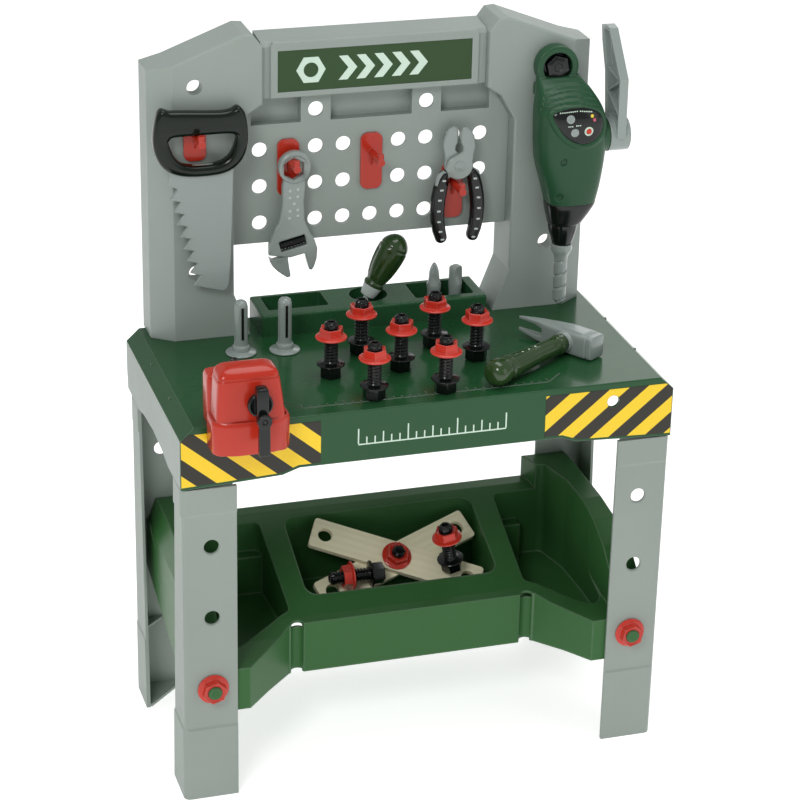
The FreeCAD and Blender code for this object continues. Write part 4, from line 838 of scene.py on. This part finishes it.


# A small raised dash; seven of them stand on the front of each sleeve, and their pale colour is a painted
# highlight.
dash = sheet([soft_ring(-2.4 * k, 2.4 * k, -1.3 * k, 1.3 * k, height, 0.5, 20)
              for height, k in ((0.0, 1.0), (0.7, 1.0), (1.0, 0.8), (1.1, 0.3))])
for side, mirror in (("left", False), ("right", True)):
    add("pliers_sleeve_" + side, [grip_group(mirror)], m_black_gloss, "pliers_" + side,
        ["pliers_grip_" + side], 60)
    dashes = [moved(dash, (2 * px - x if mirror else x, 247.4, z), (0, -1, 0)) for x, z in spine[1:-1]]
    # Painted highlight: the raised dashes are given the pale edge colour.
    add("pliers_dashes_" + side, dashes, m_pale_edge, "pliers_" + side, sharp=60)


# ---------------------------------------------------------------- hammer, screwdriver and bits

def fluted(start, end, deep, count=6):
    """Flat panels pressed into a turned handle between two heights."""
    def radius_at(angle, height, radius):
        """The handle's radius, less deep along each panel."""
        fade = max(0.0, min(1.0, (height - start) / 7, (end - height) / 7))
        panel = max(0.0, math.cos(angle * count)) ** 0.6
        return radius - deep * fade * panel
    return radius_at


hammer_turn = Matrix.Translation(Vector((208, 103, 509.2))) @ Matrix.Rotation(math.radians(31.9), 4, "Z")


def on_hammer(group):
    """A group moved from the hammer's own frame, handle along X, to where it lies on the worktop."""
    points, faces = group
    return [tuple(hammer_turn @ Vector(p)) for p in points], faces


handle_rows = plain([(0.2, 3.0), (0.7, 7.0), (1.9, 10.4), (4.2, 13.2), (7.6, 15.3), (12, 16.2), (19, 16.3),
                     (24.5, 15.5), (27, 14.6), (27.8, 13.4), (28.8, 13.2), (29.8, 13.5), (30.6, 14.9),
                     (31.8, 15.2), (33.6, 15.1), (35, 14.7)])
handle_rows += plain([(37 + 2.0 * k, 14.5 - 3.0 * min(1.0, k / 26)) for k in range(44)])
handle_rows += plain([(125, 11.3), (126, 12.3), (128.5, 12.5), (130, 12.2), (131, 11.2), (136, 11.0),
                      (137, 8.9), (158, 8.8)])
handle = on_hammer(moved(sheet(lathe(handle_rows, 72, fluted(34, 122, 1.1))), (-156, 0, -0.6), (1, 0, 0)))
add("hammer_grip", [handle], m_olive, "hammer", ["hammer_handle"], 40)
pins = [on_hammer(moved(sheet(lathe(plain([(0.0, 1.3), (0.5, 1.1), (0.6, 0.3)]), 12)), (x, 0, z), (0, 0, 1)))
        for x, z in ((-108, 11.6), (-96, 11.2), (-84, 10.9), (-72, 10.7))]
add("hammer_grip_dots", pins, m_mint, "hammer", sharp=60)


def head_ring(y, half_x, low, high, shift=0.0, power=0.3):
    """Rounded rectangular ring across the hammer's head at a place along it."""
    ring = []
    for k in range(48):
        across, up = rounded(2 * math.pi * (k + 0.5) / 48, power)
        ring.append((shift + across * half_x, y, (low + high) / 2 + up * (high - low) / 2))
    return ring


block_rows = [(-38, 12.4, -15, 12, 0), (-37.2, 13.6, -16, 13, 0), (-32.4, 14.1, -16.5, 13.5, 0),
              (-31.4, 13.2, -15.7, 12.7, 0), (-29.8, 13.2, -15.7, 12.7, 0), (-28.8, 14.4, -16.5, 13.5, 0),
              (-18, 14.9, -16.5, 13.5, 0), (-4, 14.9, -16.5, 13.5, -0.2), (10, 14.2, -16.2, 13.2, -0.6),
              (24, 12.2, -15.9, 12.7, -1.6), (34, 10.4, -15.4, 12.2, -2.4), (37, 9.6, -15.0, 11.8, -2.6)]
block = sheet([head_ring(y, w, lo, hi, shift) for y, w, lo, hi, shift in block_rows])


def claw(top):
    """One of the two curved claw blades."""
    rings = []
    for k in range(14):
        t = k / 13
        y = 33 + 44.5 * t
        x = -2.6 - 1.5 * t
        wide = 9.8 * (1 - t) + 1.6 * t
        outer = (12.2 - 4.6 * t ** 1.4) if top else (-15.4 + 4.8 * t ** 1.4)
        opening = min(1.0, t * 2.6)
        inner = (1.0 + 5.2 * opening - 1.6 * t) if top else (-4.2 - 4.6 * opening + 1.8 * t)
        rings.append(head_ring(y, wide, min(outer, inner), max(outer, inner), x, 0.4))
    return sheet(rings)


recess_rows = [(0.2, -9.2, 9.2, -25, 11), (0.7, -8.6, 8.6, -24.2, 10.2), (0.75, -7.6, 7.6, -23, 9)]
block_top = 13.3
recess = sheet([soft_ring(x0, x1, y0, y1, block_top + z, 0.25, 40) for z, x0, x1, y0, y1 in recess_rows])
eye_ring = moved(sheet(lathe(plain([(0, 9), (0, 11.6), (1, 12.5), (2.2, 12.5), (2.8, 11.7), (3.4, 12.4),
                                    (4.8, 12.5), (6, 11.8), (6, 9)]), 48), loop=True), (-19.4, 0, -0.6),
                 (1, 0, 0))
add("hammer_head_block", [on_hammer(g) for g in (block, claw(True), claw(False), recess, eye_ring)], m_silver,
    "hammer", ["hammer_head"], 44)

tip = (-10.5, 275, 498.0)
slant = (math.sin(math.radians(29)), 0, math.cos(math.radians(29)))
shaft_rows = [(0, 1.6), (0.4, 3.2), (1.4, 3.7), (20, 3.7), (21, 6.5), (22.4, 9.3), (24, 9.9), (33, 11.6),
              (35.2, 12.0), (36, 11.4)]
add("screwdriver_ferrule", [sheet(lathe(plain(shaft_rows), 48))], m_pale_edge, "screwdriver",
    ["screwdriver_shaft"], 40, place=tip, axis=slant)
grip_rows = [(35.8, 8), (36, 11.4), (37, 12.8), (39.4, 13.2), (41.4, 12.8), (42.4, 11.8), (44.4, 11.8),
             (46, 12.8), (50, 14.2), (56, 15.8), (62, 17.0), (68, 17.9), (74, 18.5), (80, 18.9), (86, 18.9),
             (90, 18.5), (91, 17.7), (92, 17.6), (93, 18.0), (96.5, 16.9), (100, 14.9), (103.5, 12.0),
             (106.4, 8.4), (108.2, 4.6), (108.8, 1.2)]
dense = []
for (h0, r0), (h1, r1) in zip(grip_rows, grip_rows[1:]):
    parts = max(1, int((h1 - h0) / 1.5))
    dense += [(h0 + (h1 - h0) * j / parts, r0 + (r1 - r0) * j / parts) for j in range(parts)]
dense.append(grip_rows[-1])
add("screwdriver_grip", [sheet(lathe(plain(dense), 72, fluted(47, 90, 1.6)))], m_olive, "screwdriver",
    ["screwdriver_handle"], 44, place=tip, axis=slant)


def cross_cut(angle, height, radius):
    """Four hollows round the upper end of the pointed bit."""
    if height < 31:
        return radius
    depth = min(1.0, (height - 31) / 4)
    return radius * (1 - 0.42 * depth * abs(math.sin(2 * angle)) ** 1.3)


def flat_cut(angle, height, radius):
    """Two flats on the upper end of the slotted bit."""
    if height < 31:
        return radius
    depth = min(1.0, (height - 31) / 5)
    flat = 5.2 / max(0.12, abs(math.sin(angle)))
    return radius * (1 - depth) + min(radius, flat) * depth


pointed_rows = [(0, 7.6), (0.6, 8.4), (23, 8.4), (25, 8.8), (29, 9.2), (31, 9.2), (36, 9.2), (42, 9.0),
                (46, 8.3), (50, 7.0), (54, 5.0), (57, 3.0), (58.6, 1.6), (59, 0.6)]
slotted_rows = [(0, 7.4), (0.6, 8.0), (21, 8.0), (23.5, 8.3), (27, 8.6), (31, 8.6), (38, 8.6), (46, 8.5),
                (50, 8.2), (51.4, 7.4), (52, 6.2), (52, 1.6)]
for name, rows, cutting, x in (("pointed", pointed_rows, cross_cut, 86),
                               ("slotted", slotted_rows, flat_cut, 114)):
    add("bit_" + name, [sheet(lathe(plain(rows), 48, cutting))], m_silver, "bits", ["screwdriver_bits"], 40,
        place=(x, 272, 495.1), spin=0.5)


# ---------------------------------------------------------------- stage, light and camera

floor_mesh = bpy.data.meshes.new("floor")
reach = 30
floor_mesh.from_pydata([(-reach, -reach, 0), (reach, -reach, 0), (reach, reach, 0), (-reach, reach, 0)], [],
                       [(0, 1, 2, 3)])
floor = bpy.data.objects.new("floor", floor_mesh)
bpy.context.scene.collection.objects.link(floor)
shade = Shader("pale_floor")
where = shade.add("TexCoord").outputs["Object"]
pale = shade.mix(shade.noise(where, 3.0), (0.86, 0.87, 0.86, 1.0), (0.9, 0.9, 0.89, 1.0))
floor_mesh.materials.append(shade.finish(Base_Color=pale, Roughness=0.6, Specular_IOR_Level=0.2,
                                         Emission_Color=(1, 1, 1, 1), Emission_Strength=0.62))

world = bpy.data.worlds.new("studio")
bpy.context.scene.world = world
world.use_nodes = True
world.node_tree.nodes["Background"].inputs[0].default_value = (1.0, 1.0, 1.0, 1.0)
world.node_tree.nodes["Background"].inputs[1].default_value = 0.42


def softbox(name, place, target, size, power):
    """Rectangular area light of a size in metres, turned to its target."""
    light = bpy.data.lights.new(name, "AREA")
    light.shape = "RECTANGLE"
    light.size, light.size_y = size
    light.energy = power
    lamp = bpy.data.objects.new(name, light)
    lamp.location = place
    lamp.rotation_euler = (Vector(target) - Vector(place)).to_track_quat("-Z", "Y").to_euler()
    bpy.context.scene.collection.objects.link(lamp)


softbox("key", (-1.7, -2.3, 2.7), (0, 0, 0.45), (1.0, 1.0), 40)
softbox("fill", (2.4, -1.9, 1.5), (0, 0, 0.45), (1.6, 1.8), 8)
softbox("top", (0.3, 0.2, 3.0), (0, 0, 0.4), (2.0, 1.4), 26)
softbox("rim", (1.5, 2.2, 1.8), (0, 0, 0.6), (1.2, 1.2), 6)

camera_place = (-861.3, -2597.1, 1735.9)
camera_data = bpy.data.cameras.new("camera")
camera_data.lens = 116.95
camera_data.sensor_width = 36.0
camera_data.shift_x = 0.0068
camera_data.shift_y = -0.0229
camera_data.clip_end = 100
camera = bpy.data.objects.new("camera", camera_data)
right = Vector((0.95670, -0.29040, 0.01977))
up = Vector((0.10093, 0.39467, 0.91326))
back = right.cross(up)
turn = Matrix((right, up, back)).transposed()
camera.matrix_world = Matrix.Translation(mm(camera_place)) @ turn.to_4x4()
bpy.context.scene.collection.objects.link(camera)
bpy.context.scene.camera = camera

bpy.context.scene.view_settings.view_transform = "Standard"
